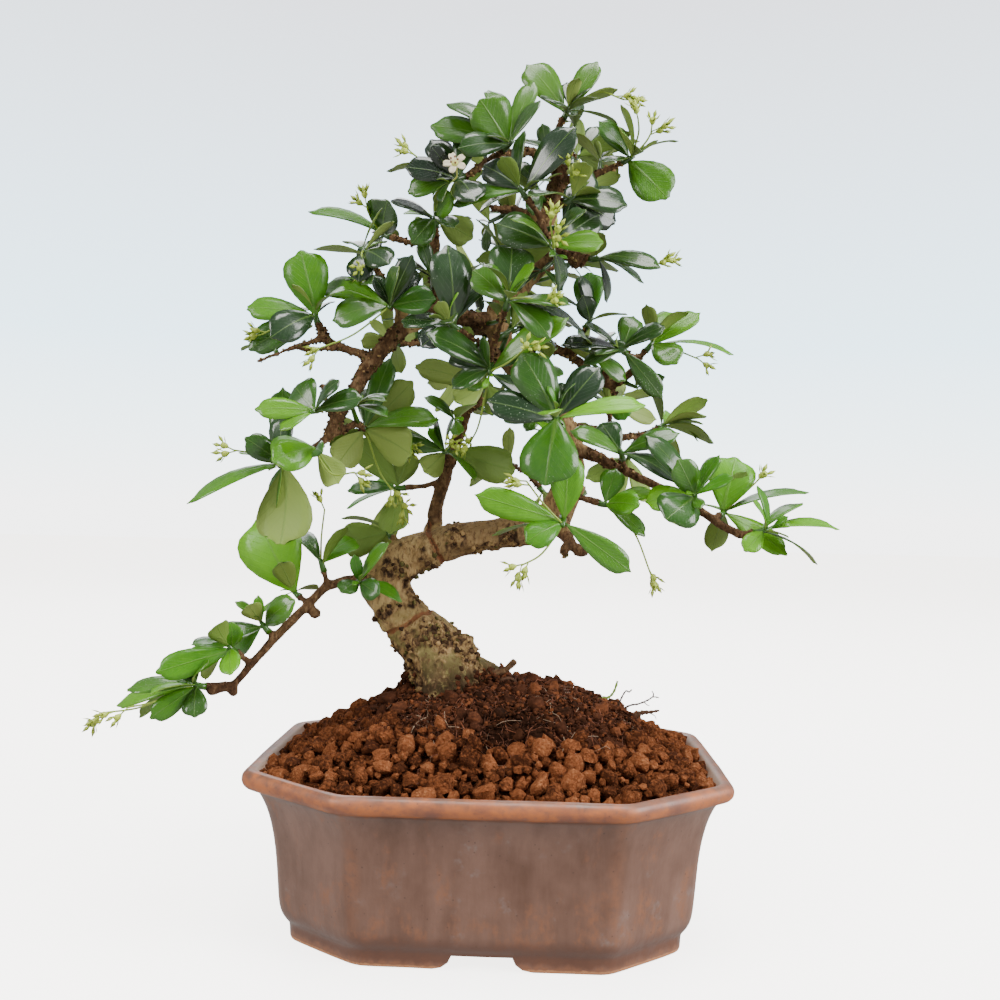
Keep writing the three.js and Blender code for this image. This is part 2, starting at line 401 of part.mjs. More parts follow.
const SHOOTS = {
  low_left_end: { at: [-103, -29, 87], more: 0,
    leaves: [[-160, 0, 24, 8, 'lean'], [-160, -15, 19, 8, 'front'], [170, -15, 33, 8, 'lean'],
      [-75, -55, 12, 9, 'front'], [160, -30, 28, 7, 'up'], [-120, 55, 12, 9, 'lean']],
    buds: [[-170, -20, 38]] },
  low_left_third: { at: [-91, -30, 100], more: 0,
    leaves: [[-155, -15, 26, 10, 'front'], [-175, -30, 18, 9, 'front'], [-80, 65, 10, 8, 'front'],
      [155, -35, 22, 7, 'up']] },
  low_left_second: { at: [-82, -21, 107], more: 0,
    leaves: [[170, 5, 32, 9, 'up'], [-155, -10, 20, 9, 'lean'], [-45, 30, 20, 10, 'front'],
      [150, -35, 18, 9, 'front']] },
  low_left_first: { at: [-74, -9, 118], more: 0, leaves: [[165, 60, 32, 25, 'front']] },
  low_left_stub: { at: [-64, -12, 129], more: 1,
    leaves: [[-25, 55, 18, 9, 'up'], [25, 35, 17, 12, 'front']] },
  elbow: { at: [-49, -17, 124], more: 1, leaves: [[-125, -20, 9, 8, 'front'], [-50, -15, 13, 8, 'front']] },
  arch_end: { at: [-62, -34, 171], more: 1,
    leaves: [[-140, -15, 17, 16, 'front'], [-35, -45, 16, 10, 'back']] },
  arch_tip: { at: [-74, -30, 166], more: 0,
    leaves: [[-170, -25, 36, 10, 'lean'], [-105, -85, 28, 21, 'back'], [-145, 30, 16, 9, 'front'],
      [110, 75, 29, 10, 'front'], [-115, 60, 17, 9, 'lean']],
    buds: [[-155, 25, 22]] },
  arch_low: { at: [-62, -38, 184], more: 1,
    leaves: [[145, 40, 14, 14, 'front'], [-145, -30, 14, 8, 'lean'], [-25, 45, 14, 8, 'lean']] },
  arch_mid: { at: [-49, -16, 180], more: 0,
    leaves: [[-25, -25, 22, 15, 'back'], [-5, 10, 27, 11, 'lean'], [25, 45, 25, 12, 'back'],
      [-165, -55, 16, 12, 'back'], [35, 70, 28, 9, 'front']] },
  arch_left: { at: [-65, -27, 218.5], more: 1,
    leaves: [[-160, 75, 24, 16, 'front'], [-170, -5, 24, 10, 'lean'], [-130, -30, 21, 12, 'front'],
      [175, -50, 26, 11, 'front']],
    buds: [[-150, -10, 26]] },
  arch_rise: { at: [-48, -25, 242], more: 1,
    leaves: [[-165, 0, 18, 9, 'up'], [-95, -55, 14, 10, 'front'], [-40, -30, 15, 11, 'front']] },
  arch_front: { at: [-38, -32, 222], more: 0,
    leaves: [[-170, -15, 20, 12, 'front'], [165, 10, 30, 11, 'front'], [-20, 5, 17, 11, 'front'],
      [40, 60, 18, 10, 'front']] },
  arch_back_twig: { at: [-44, -6, 254], more: 1,
    leaves: [[-165, 15, 29, 9, 'lean'], [-80, 30, 16, 15, 'front'], [145, -45, 15, 10, 'front']] },
  mid_left: { at: [-24, -20, 256], more: 0,
    leaves: [[-155, 15, 17, 9, 'lean'], [-130, -45, 15, 10, 'front'], [-55, 20, 13, 10, 'front'],
      [20, -30, 15, 11, 'back']] },
  speckled: { at: [-15, -38, 214], more: 0,
    leaves: [[-125, 80, 27, 15, 'front'], [-150, -35, 14, 10, 'lean'], [35, 75, 24, 11, 'front'],
      [165, 25, 18, 9, 'front']] },
  centre_left: { at: [-2, -37, 200], more: 0,
    leaves: [[-160, 25, 25, 12, 'front'], [-160, -30, 15, 9, 'lean'], [-10, 35, 31, 10, 'front'],
      [155, 25, 17, 10, 'front']] },
  top_flowering: { at: [-15, -27, 269], more: 0,
    leaves: [[35, 80, 20, 9, 'front'], [155, 60, 18, 10, 'front'], [-170, 15, 25, 8, 'up'],
      [-155, -10, 19, 9, 'front'], [-155, -35, 18, 9, 'front'], [-60, -40, 18, 12, 'front']] },
  top_left: { at: [2, -26, 281], more: 0,
    leaves: [[-140, 45, 18, 16, 'front'], [-175, 35, 26, 10, 'lean'], [165, 25, 32, 12, 'front'],
      [135, 65, 26, 9, 'lean'], [30, 70, 26, 8, 'front'], [-150, -25, 21, 9, 'front']] },
  apex: { at: [23, -4, 302], more: 1,
    leaves: [[180, 50, 23, 14, 'front'], [10, 60, 23, 9, 'front'], [-115, -5, 18, 10, 'lean'],
      [-50, 0, 16, 9, 'up'], [15, 5, 21, 9, 'up']],
    buds: [[-5, 15, 24]] },
  top_right: { at: [46, -10, 282.5], more: 0,
    leaves: [[-25, -45, 22, 16, 'front'], [5, 25, 20, 8, 'up'], [-155, 40, 17, 9, 'front'],
      [-135, -20, 15, 9, 'lean']],
    buds: [[-15, 40, 13]] },
  top_front: { at: [8, -34, 262], more: 0,
    leaves: [[-20, 50, 27, 12, 'front'], [-110, -55, 19, 11, 'front'], [-165, -15, 16, 9, 'lean'],
      [170, -15, 25, 10, 'front'], [165, 35, 17, 10, 'front']] },
  top_middle: { at: [24, -30, 261], more: 0,
    leaves: [[-10, -5, 20, 12, 'front'], [-155, 0, 18, 9, 'lean'], [20, -20, 18, 11, 'front'],
      [10, 35, 13, 10, 'front']] },
  middle_front: { at: [18, -36, 243], more: 0,
    leaves: [[-175, 20, 20, 14, 'front'], [-100, -65, 15, 17, 'front'], [-5, 5, 17, 9, 'front'],
      [30, 45, 22, 12, 'front'], [155, 5, 18, 12, 'back']] },
  middle_high: { at: [3, -40, 222], more: 0,
    leaves: [[65, 80, 22, 16, 'front'], [-160, 40, 15, 12, 'front'], [-20, -5, 22, 12, 'lean'],
      [-40, -25, 21, 10, 'front'], [15, -20, 28, 9, 'lean']] },
  right_knob: { at: [35, -9, 246], more: 1,
    leaves: [[-10, -10, 20, 8, 'up'], [-20, -20, 26, 9, 'front']],
    buds: [[-15, -5, 29]] },
  right_bright: { at: [34, 4, 224], more: 1,
    leaves: [[90, 80, 21, 12, 'front'], [-110, 40, 12, 8, 'front']] },
  right_upper_end: { at: [58, 12, 217], more: 0,
    leaves: [[-10, -5, 32, 9, 'up'], [5, 35, 24, 9, 'front'], [35, 60, 21, 10, 'front'],
      [-50, -35, 16, 12, 'front']] },
  right_upper_in: { at: [47, 0, 213], more: 1,
    leaves: [[-160, 0, 25, 10, 'lean'], [-15, -50, 23, 8, 'front'], [45, 65, 15, 10, 'front']] },
  right_upper_low: { at: [46, 22, 197], more: 2, leaves: [[-50, -55, 10, 8, 'front']] },
  centre_main: { at: [21, -44, 182], more: 0,
    leaves: [[-170, 60, 25, 15, 'front'], [-165, 20, 24, 11, 'front'], [-10, 10, 29, 9, 'lean'],
      [175, 0, 19, 9, 'front'], [-115, -70, 24, 20, 'front'], [15, 50, 22, 12, 'front']] },
  centre_low: { at: [24, -43, 148], more: 0,
    leaves: [[-80, 75, 23, 12, 'front'], [-165, 15, 31, 10, 'front'], [-145, -25, 16, 10, 'front'],
      [170, -10, 24, 9, 'up'], [-5, -35, 27, 9, 'front'], [135, -5, 18, 14, 'back']],
    buds: [[-150, -55, 20]] },
  centre_low_right: { at: [39, -26, 154], more: 0,
    leaves: [[30, 70, 13, 9, 'front'], [-50, 0, 16, 10, 'front'], [0, 15, 17, 9, 'lean'],
      [-25, -35, 17, 8, 'lean']],
    buds: [[-30, -50, 32]] },
  right_low_in: { at: [45, -22, 172], more: 0,
    leaves: [[-165, 25, 20, 9, 'lean'], [150, 55, 14, 11, 'front'], [-10, 20, 21, 9, 'lean'],
      [-25, -25, 22, 11, 'lean']] },
  right_low_mid: { at: [70, -33, 157], more: 0,
    leaves: [[175, 50, 27, 9, 'lean'], [-135, 50, 16, 10, 'front'], [150, 25, 19, 11, 'front'],
      [-135, -25, 17, 16, 'front']] },
  right_low_out: { at: [81, -23, 152], more: 1,
    leaves: [[40, 70, 21, 17, 'front'], [-5, 15, 30, 9, 'up'], [-30, -25, 26, 9, 'front']] },
  right_low_end: { at: [92, -34, 146], more: 1,
    leaves: [[-10, 5, 26, 10, 'up'], [20, 30, 19, 9, 'up'], [-140, -35, 12, 7, 'front']] },
  riser_top: { at: [-5, -15, 197], more: 1,
    leaves: [[-175, -20, 30, 9, 'back'], [160, 55, 9, 12, 'back'], [-25, -65, 12, 9, 'back'],
      [165, 5, 17, 9, 'back']] },
  riser_middle: { at: [-19, -6, 173], more: 1,
    leaves: [[-15, -15, 27, 14, 'back'], [-175, 15, 34, 10, 'back'], [170, -15, 15, 12, 'back'],
      [-140, -40, 12, 10, 'back'], [-35, -35, 17, 9, 'up']] },
  riser_side: { at: [-38, 6, 159], more: 1,
    leaves: [[-145, -65, 29, 12, 'back'], [-175, 45, 25, 12, 'back'], [-155, -5, 20, 7, 'lean'],
      [170, -20, 22, 8, 'up'], [-95, -65, 19, 12, 'back'], [40, 65, 16, 10, 'back']] },
  trunk_elbow: { at: [-41, 4, 142], more: 3,
    leaves: [[-160, -10, 19, 14, 'back'], [-170, 30, 12, 9, 'back'], [-25, 10, 15, 9, 'up']] },
  back_top: { at: [28, 14, 292], more: 5, leaves: [] },
  back_high_end: { at: [8, 42, 257], more: 5, leaves: [] },
  back_high_right: { at: [26, 34, 254], more: 5, leaves: [] },
  back_high_left: { at: [-8, 36, 247], more: 5, leaves: [] },
  back_left_end: { at: [-44, 34, 220], more: 5, leaves: [] },
  back_left_rise: { at: [-30, 28, 232], more: 5, leaves: [] },
  back_left_low: { at: [-18, 34, 212], more: 5, leaves: [] },
  back_low_end: { at: [4, 44, 171], more: 5, leaves: [] },
  back_low_rise: { at: [20, 38, 181], more: 5, leaves: [] },
  back_low_under: { at: [18, 40, 160], more: 5, leaves: [] },
  back_right_end: { at: [67, 36, 188], more: 5, leaves: [] },
  back_right_rise: { at: [44, 28, 194], more: 5, leaves: [] },
  back_right_low: { at: [54, 38, 175], more: 5, leaves: [] },
};

// The place on the wood's middle line nearest to a shoot
function nearestWood(target) {
  let best = null;
  for (const places of Object.values(LIMBS)) {
    const curve = new THREE.CatmullRomCurve3(places.map(point), false, 'centripetal');
    for (const at of curve.getPoints(6 * places.length)) {
      const distance = at.distanceTo(target);
      if (!best || distance < best.distance) best = { at, distance };
    }
  }
  return best.at;
}

// The woody twig under a shoot. It leaves the limb, bends up a little, and ends in a scaly knuckle.
function twig(from, to) {
  const path = to.clone().sub(from);
  const out = path.clone().normalize();
  const sag = TWIG.sag * Math.max(0, path.length() - TWIG.straight);
  const axis = out.clone().add(new THREE.Vector3(0, 0, 0.1 * sag)).normalize();
  const end = to.clone().addScaledVector(axis, -STEM.below - GAP);
  const neck = from.clone().lerp(end, 0.6).add(new THREE.Vector3(0, 0, -sag));
  const places = [[...from.toArray(), TWIG.root], [...neck.toArray(), TWIG.neck],
    [...end.toArray(), TWIG.knuckle]];
  return { axis, wood: limb(places, { sides: TWIG.sides, rings: 1, wobble: 0.05 }, 0, 0) };
}

function greenStem(at, axis, spare = 0) {
  const { base, tip, below, above, sides } = STEM;
  const stem = new THREE.CylinderGeometry(tip + spare, base + spare, below + above, sides)
    .rotateX(Math.PI / 2).translate(0, 0, (above - below) / 2);
  return solidOf(stem, facing(axis).setPosition(at));
}

const direction = (turn, rise) => new THREE.Vector3(
  Math.cos(radians(rise)) * Math.cos(radians(turn)), Math.cos(radians(rise)) * Math.sin(radians(turn)),
  Math.sin(radians(rise)));

// Half of a blade's outline, from its root to the notch in its tip: how far along, and how far out
const BLADE_SIDE = [[0.6, 0.95], [0.94, 0.68]];
const BLADE_NOTCH = 0.93;
const BLADE_MIDDLE = 0.52;

// A leaf blade: narrow at the root, broadest near the tip and notched there, folded up along its
// midrib and arched. start moves its root up the blade, and spare grows it on every side.
function blade({ root, way, up, length, width, arch, fold }, { start = 0, spare = 0 } = {}) {
  const side = new THREE.Vector3().crossVectors(up, way);
  const at = (along, out) => {
    const reach = along === start ? 0 : spare;
    return root.clone().addScaledVector(way, along * length + (along > 0.9 ? spare : 0))
      .addScaledVector(side, out * width / 2 + Math.sign(out) * reach)
      .addScaledVector(up, 4 * arch * length * along * (1 - along) + fold * Math.abs(out) * width / 2);
  };
  const outline = [[start, 0], ...BLADE_SIDE.map(([s, t]) => [s, -t]), [BLADE_NOTCH, 0],
    ...[...BLADE_SIDE].reverse(), [BLADE_MIDDLE, 0]];
  const half = LEAF.thick / 2 + spare;
  const upper = outline.map(([s, t]) => at(s, t).addScaledVector(up, half).toArray());
  const lower = outline.map(([s, t]) => at(s, t).addScaledVector(up, -half).toArray());
  const count = outline.length;
  const middle = count - 1;
  const triangles = [];
  for (let i = 0; i < middle; i++) {
    const next = (i + 1) % middle;
    triangles.push([middle, i, next], [count + middle, count + next, count + i]);
    triangles.push([i, count + i, count + next], [i, count + next, next]);
  }
  return solid([...upper, ...lower], triangles);
}

// A leaf's upper side turned as far as it can be towards a wanted facing
function upperSide(way, face) {
  const up = face.clone().addScaledVector(way, -face.dot(way));
  if (up.length() < 0.2) up.set(0, 0, 1).addScaledVector(way, -way.z);
  return up.normalize();
}

function budStalk(root, way, length) {
  const { stalk, radius, long } = BUD;
  const end = root.clone().addScaledVector(way, length);
  const sag = root.clone().lerp(end, 0.5).add(new THREE.Vector3(0, 0, 0.06 * length));
  const stem = limb([[...root.toArray(), stalk], [...sag.toArray(), stalk], [...end.toArray(), stalk]],
    { sides: 3, rings: 1, wobble: 0 });
  const bud = new THREE.OctahedronGeometry(radius, 0).scale(1, 1, long / radius);
  return stem.add(solidOf(bud, facing(way).setPosition(end)));
}

// Whether a solid runs into any of the others
function hits(trial, others) {
  const box = trial.boundingBox();
  return others.some(({ shape, reach }) => {
    if ([0, 1, 2].some((k) => box.min[k] > reach.max[k] || box.max[k] < reach.min[k])) return false;
    const common = trial.intersect(shape);
    const meets = !common.isEmpty();
    common.delete();
    return meets;
  });
}
const standing = (shape) => ({ shape, reach: shape.boundingBox() });

// The shoots' stems and twigs, each moved out along its twig until it is clear of the wood and of the
// stems before it
const bareWood = [...limbSolids, ...KNOBS.map((place) => knob(place))];
const bareWoodRoom = bareWood.map(standing);
const stems = [];
for (const [name, { at, more, leaves, buds = [] }] of Object.entries(SHOOTS)) {
  const place = point(at);
  const foot = nearestWood(place);
  for (let step = 0; step < 12; step++) {
    const { axis, wood } = twig(foot, place);
    const room = greenStem(place, axis, GAP);
    const woods = [...bareWoodRoom, ...stems.map((stem) => standing(stem.wood))];
    if (!hits(room, woods) && !hits(wood, stems.map((stem) => standing(stem.room)))) {
      stems.push({ name, at: place, axis, wood, room, green: greenStem(place, axis), more, leaves, buds });
      break;
    }
    place.addScaledVector(axis, 0.6);
  }
}
const trunkParts = [...bareWood, ...stems.map(({ wood }) => wood)];
const obstacles = trunkParts.map(standing);

// Tries a leaf at its place, then a little turned, raised and rolled, until it is clear of everything
function placeLeaf(wish, shoot, others, tries) {
  for (let attempt = 0; attempt < tries; attempt++) {
    const stray = 5 * attempt;
    const turn = wish.turn + stray * (random() - 0.5) * 2;
    const rise = wish.rise + stray * (random() - 0.5) * 2;
    const way = wish.way ? wish.way(turn, rise) : direction(turn, rise);
    const roll = radians(14 + 2 * attempt) * (random() - 0.5) * 2;
    const out = way.clone().addScaledVector(shoot.axis, -way.dot(shoot.axis)).multiplyScalar(LEAF.seat);
    const leaf = {
      root: shoot.at.clone().addScaledVector(shoot.axis, wish.offset).add(out), way,
      up: upperSide(way, wish.face).applyAxisAngle(way, roll),
      length: wish.length * (attempt > 6 ? 0.88 : 1), width: wish.width,
      arch: between(LEAF.arch), fold: between(LEAF.fold),
    };
    const room = blade(leaf, { spare: GAP });
    const outer = blade(leaf, { start: 0.2, spare: GAP });
    const clear = !hits(room, others) && !hits(outer, shoot.placed);
    room.delete();
    outer.delete();
    if (clear) return blade(leaf);
  }
  return null;
}

// Adds a leaf's solid to its shoot where one fits
function addLeaf(shoot, wish, tries) {
  const others = obstacles.filter(({ owner }) => owner !== shoot.name);
  const leaf = placeLeaf(wish, shoot, others, tries);
  if (!leaf) return false;
  shoot.placed.push(standing(leaf));
  obstacles.push({ ...standing(leaf), owner: shoot.name });
  return true;
}

// The open flower: five petals on a stalk from the tip of its shoot's stem
function flower({ at, axis }) {
  const { radius, petals, thick, stalk, cup } = FLOWER;
  const middle = point(FLOWER.at);
  const way = FACING.front.clone().normalize();
  const outline = new THREE.Shape();
  for (let i = 0; i < 2 * petals; i++) {
    const turn = Math.PI * i / petals;
    const out = i % 2 ? 0.42 * radius : radius;
    outline[i ? 'lineTo' : 'moveTo'](out * Math.cos(turn), out * Math.sin(turn));
  }
  const star = new THREE.ExtrudeGeometry(outline, { depth: thick, bevelEnabled: false });
  const foot = at.clone().addScaledVector(axis, STEM.above + GAP + stalk);
  const back = middle.clone().addScaledVector(way, -2);
  const throat = middle.clone().addScaledVector(way, thick / 2);
  const stem = limb([[...foot.toArray(), stalk], [...back.toArray(), stalk], [...throat.toArray(), cup]],
    { sides: 5, rings: 1, wobble: 0 }, 0, 0);
  return solidOf(star, facing(way).setPosition(middle)).add(stem);
}

const bloom = flower(stems.find(({ name }) => name === 'top_flowering'));
obstacles.push(standing(bloom));
for (const stem of stems) {
  stem.placed = [];
  stem.extras = [];
  obstacles.push({ ...standing(stem.green), owner: stem.name });
}
for (const stem of stems) {
  for (const [turn, rise, length] of stem.buds) {
    const stalk = budStalk(stem.at, direction(turn, rise), length);
    stem.extras.push(stalk);
    obstacles.push({ ...standing(stalk), owner: stem.name });
    stem.placed.push(standing(stalk));
  }
}
// The leaves that the front view shows come first, and the others are laid round them
for (const stem of stems) {
  stem.leaves.forEach(([turn, rise, length, width, face], i) => {
    const offset = STEM.above * 0.6 * i / stem.leaves.length;
    addLeaf(stem, { turn, rise, length, width, face: FACING[face], offset }, 14);
  });
}
for (const stem of stems) {
  const hidden = stem.leaves.length > 0;
  let laid = 0;
  for (let k = 0; k < 4 * stem.more && laid < stem.more; k++) {
    const lean = 35 + 45 * random();
    const length = between(LEAF.long);
    const aside = new THREE.Vector3(stem.axis.y, -stem.axis.x, 0.3).normalize();
    aside.addScaledVector(stem.axis, -aside.dot(stem.axis)).normalize();
    const way = (turn, rise) => aside.clone().applyAxisAngle(stem.axis, radians(turn))
      .multiplyScalar(Math.cos(radians(rise))).addScaledVector(stem.axis, Math.sin(radians(rise)))
      .normalize();
    const turn = k * GOLDEN_ANGLE;
    if (hidden && way(turn, 90 - lean).y < -0.35) continue;
    const face = stem.axis.clone().add(new THREE.Vector3(0, 0, 0.4));
    const wish = { turn, rise: 90 - lean, way, length, width: LEAF.slender * length, face,
      offset: STEM.above * 0.7 * random() };
    if (addLeaf(stem, wish, 6)) laid++;
  }
}

// Materials, one for each kind of piece
const FINISH = {
  glaze: { color: 0x73594f, roughness: 0.42, metalness: 0 },
  plastic: { color: 0x2b2b28, roughness: 0.6, metalness: 0 },
  granules: { color: 0x7a3f20, roughness: 0.95, metalness: 0 },
  peat: { color: 0x2e1a10, roughness: 1, metalness: 0 },
  bark: { color: 0x9a7c52, roughness: 0.9, metalness: 0 },
  foliage: { color: 0x2f6a2c, roughness: 0.35, metalness: 0 },
  petal: { color: 0xf3e6cc, roughness: 0.6, metalness: 0 },
};

const bonsai = new THREE.Group();
function addMesh(name, shape, finish) {
  const { vertProperties, triVerts, numProp } = shape.getMesh();
  const positions = new Float32Array(vertProperties.length / numProp * 3);
  for (let i = 0; i < positions.length / 3; i++) {
    positions.set(vertProperties.subarray(i * numProp, i * numProp + 3), 3 * i);
  }
  const geometry = new THREE.BufferGeometry();
  geometry.setAttribute('position', new THREE.BufferAttribute(positions, 3));
  geometry.setIndex(new THREE.BufferAttribute(new Uint32Array(triVerts), 1));
  const mesh = new THREE.Mesh(geometry, new THREE.MeshStandardMaterial(FINISH[finish]));
  mesh.name = name;
  bonsai.add(mesh);
}

// Detail finer than this is smoothed away after a join or a cut
const FINEST = { plain: 0.1, wood: 0.25 };
const tidy = (shape, finest = FINEST.plain) => mainBody(shape.asOriginal().simplify(finest));

const wood = tidy(joined(trunkParts), FINEST.wood);
const ball = rootBallShape(0).subtract(buriedWood());

addMesh('pot', tidy(pot()), 'glaze');
addMesh('drain_mesh', tidy(drainMesh()), 'plastic');
addMesh('soil_bed', tidy(soilBed()), 'granules');
addMesh('root_ball', tidy(ball), 'peat');
addMesh('trunk', wood, 'bark');
for (const { name, green, placed, extras } of stems) {
  addMesh(`shoot_${name}`, tidy(joined([green, ...placed.map(({ shape }) => shape), ...extras])), 'foliage');
}
addMesh('flower', tidy(bloom), 'petal');

// The origin goes to the bottom centre of the box of the tree and its pot
const box = new THREE.Box3().setFromObject(bonsai, true);
const centre = box.getCenter(new THREE.Vector3());
bonsai.position.set(-centre.x, -centre.y, -box.min.z);

export default bonsai;
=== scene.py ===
"""A fukien tea bonsai in its glazed pot: bark, leaves, buds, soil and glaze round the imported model."""

import math
import random

import bmesh
import bpy
import numpy as np
from mathutils import Matrix, Vector, noise
from mathutils.bvhtree import BVHTree


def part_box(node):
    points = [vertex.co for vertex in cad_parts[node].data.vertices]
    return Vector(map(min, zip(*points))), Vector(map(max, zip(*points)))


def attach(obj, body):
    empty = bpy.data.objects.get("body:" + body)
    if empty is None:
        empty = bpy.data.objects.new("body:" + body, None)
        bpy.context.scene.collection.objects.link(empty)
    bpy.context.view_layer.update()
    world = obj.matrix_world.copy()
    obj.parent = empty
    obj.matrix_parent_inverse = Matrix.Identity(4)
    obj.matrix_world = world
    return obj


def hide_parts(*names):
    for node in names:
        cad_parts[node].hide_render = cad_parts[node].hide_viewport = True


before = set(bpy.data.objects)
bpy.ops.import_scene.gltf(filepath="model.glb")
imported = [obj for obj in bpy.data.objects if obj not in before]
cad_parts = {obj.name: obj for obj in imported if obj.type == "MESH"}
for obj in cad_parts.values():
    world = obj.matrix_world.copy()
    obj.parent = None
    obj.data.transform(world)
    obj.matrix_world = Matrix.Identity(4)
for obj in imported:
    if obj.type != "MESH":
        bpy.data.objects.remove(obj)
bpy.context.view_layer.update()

MM = 0.001
noise.seed_set(5)  # without it the vector noise takes its seed from the clock


# The stand: a pale seamless floor in soft studio light. Soft boxes hang over the tree and to its left and
# right, and a weaker one lights the foliage from behind. The camera stands in front of the tree's middle,
# at the photograph's own place, lens and slight roll.
POT_LOW, POT_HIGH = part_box("pot")
POT_MIDDLE = Vector(((POT_LOW.x + POT_HIGH.x) / 2, (POT_LOW.y + POT_HIGH.y) / 2, 0))
VIEWPOINT = {"away": 0.3815, "aside": 0.00126, "height": 0.15511, "turn": 1.454, "rise": -0.641,
             "roll": 1.309, "lens": 36, "sensor": 36, "nearest": 0.01}
LIGHTS_AIM = Vector((0, 0, 0.15))
LIGHTS = {
    "top_light": {"at": (0.15, -0.25, 1.5), "size": 0.8, "power": 22, "colour": (1, 0.99, 0.97)},
    "left_light": {"at": (-1.0, -0.75, 0.75), "size": 0.6, "power": 14, "colour": (1, 0.98, 0.95)},
    "right_light": {"at": (1.1, -0.45, 0.6), "size": 0.8, "power": 25, "colour": (0.99, 0.99, 1)},
    "back_light": {"at": (-0.2, 1.1, 1.0), "size": 0.9, "power": 9, "colour": (0.96, 0.98, 1)},
}
AIR = {  # by height, what lights the tree and what the camera sees
    "light": [(0.0, (0.78, 0.765, 0.74)), (0.2, (0.39, 0.40, 0.42))],
    "seen": [(0.0, (1.0, 1.0, 1.0)), (0.07, (0.80, 0.93, 0.98)), (0.16, (0.60, 0.80, 0.93)),
             (0.45, (0.49, 0.51, 0.55))],
    "glow": 4.6,
}
FLOOR = {"wide": 8.0, "below": 0.0002}
FLOOR_FINISH = {"Base Color": (0.86, 0.85, 0.84, 1), "Roughness": 0.8, "Specular IOR Level": 0.1,
                "Emission Color": (1.0, 0.97, 0.93, 1), "Emission Strength": 4.2}


def place_camera():
    turn, rise, roll = (math.radians(VIEWPOINT[name]) for name in ("turn", "rise", "roll"))
    back = Vector((math.sin(turn) * math.cos(rise), -math.cos(turn) * math.cos(rise), math.sin(rise)))
    level = Vector((math.cos(turn), math.sin(turn), 0))
    upright = (-back).cross(level) * -1
    right = level * math.cos(roll) + upright * math.sin(roll)
    up = upright * math.cos(roll) - level * math.sin(roll)
    lens = bpy.data.cameras.new("camera")
    lens.lens, lens.sensor_width = VIEWPOINT["lens"], VIEWPOINT["sensor"]
    lens.clip_start = VIEWPOINT["nearest"]
    camera = bpy.data.objects.new("camera", lens)
    place = POT_MIDDLE + level * VIEWPOINT["aside"] + back * VIEWPOINT["away"]
    place.z += VIEWPOINT["height"]
    camera.matrix_world = Matrix.Translation(place) @ Matrix((right, up, back)).transposed().to_4x4()
    bpy.context.scene.collection.objects.link(camera)
    bpy.context.scene.camera = camera


def place_lights():
    for name, light in LIGHTS.items():
        lamp = bpy.data.lights.new(name, "AREA")
        lamp.energy, lamp.size, lamp.color = light["power"], light["size"], light["colour"]
        holder = bpy.data.objects.new(name, lamp)
        holder.location = light["at"]
        holder.rotation_euler = (LIGHTS_AIM - holder.location).to_track_quat("-Z", "Y").to_euler()
        bpy.context.scene.collection.objects.link(holder)


class Shade:
    """A socket in a material's nodes. Sums on it add the nodes that work them out."""

    def __init__(self, tree, socket=None):
        self.tree, self.socket = tree, socket

    def node(self, kind, values=None, out=0, **settings):
        made = self.tree.nodes.new("ShaderNode" + kind)
        for name, value in settings.items():
            setattr(made, name, value)
        for name, value in (values or {}).items():
            if isinstance(value, Shade):
                self.tree.links.new(value.socket, made.inputs[name])
            elif isinstance(value, tuple) and len(value) == 3 and made.inputs[name].type == "RGBA":
                made.inputs[name].default_value = (*value, 1)
            else:
                made.inputs[name].default_value = value
        return Shade(self.tree, made.outputs[out])

    def maths(self, operation, *others):
        return self.node("Math", dict(enumerate([self, *others])), operation=operation)

    def __add__(self, other):
        return self.maths("ADD", other)

    def __sub__(self, other):
        return self.maths("SUBTRACT", other)

    def __rsub__(self, other):
        return self.node("Math", {0: other, 1: self}, operation="SUBTRACT")

    def __mul__(self, other):
        return self.maths("MULTIPLY", other)

    def __truediv__(self, other):
        return self.maths("DIVIDE", other)

    __radd__, __rmul__ = __add__, __mul__

    def above(self, low, high):
        """0 below low, 1 above high, smooth between them. With high under low it runs the other way."""
        values = {"Value": self, "From Min": low, "From Max": high}
        return self.node("MapRange", values, interpolation_type="SMOOTHSTEP")

    def ramp(self, *stops):
        """The colour that this number has on a scale. Each stop is a number and its colour."""
        made = self.node("ValToRGB", {"Fac": self})
        elements = made.socket.node.color_ramp.elements
        while len(elements) < len(stops):
            elements.new(0.5)
        for element, (place, colour) in zip(elements, stops):
            element.position, element.color = place, (*colour, 1)
        return made

    def to(self, colour, share):
        """This colour, with that share of another in it."""
        return self.node("Mix", {0: share, 6: self, 7: colour}, out=2, data_type="RGBA")

    def lit(self, factor):
        """This colour, lighter or darker by a factor."""
        return self.node("VectorMath", {0: self, "Scale": factor}, operation="SCALE")

    def coordinates(self):
        return self.node("TexCoord", out="Object")

    def along(self, axis):
        """How far along an axis the place lies, in metres."""
        return self.node("SeparateXYZ", {0: self.coordinates()}, out=axis)

    def scaled(self, size, stretch=(1, 1, 1), at=None):
        """Places for a pattern that repeats every size millimetres."""
        scale = tuple(s / (size * MM) for s in stretch)
        return self.node("Mapping", {"Vector": at or self.coordinates(), "Scale": scale})

    def noise(self, size, detail=3, rough=0.5, stretch=(1, 1, 1), out="Fac"):
        """Cloudy noise. size is the width of its clouds in millimetres."""
        values = {"Vector": self.scaled(size, stretch), "Scale": 1.0, "Detail": detail, "Roughness": rough}
        return self.node("TexNoise", values, out=out)

    def cells(self, size, at=None):
        """How far the place lies from the nearest of many scattered points, 0 at the point itself."""
        return self.node("TexVoronoi", {"Vector": self.scaled(size, at=at), "Scale": 1.0}, out="Distance")

    def attribute(self, name):
        return self.node("Attribute", out="Fac", attribute_name=name)


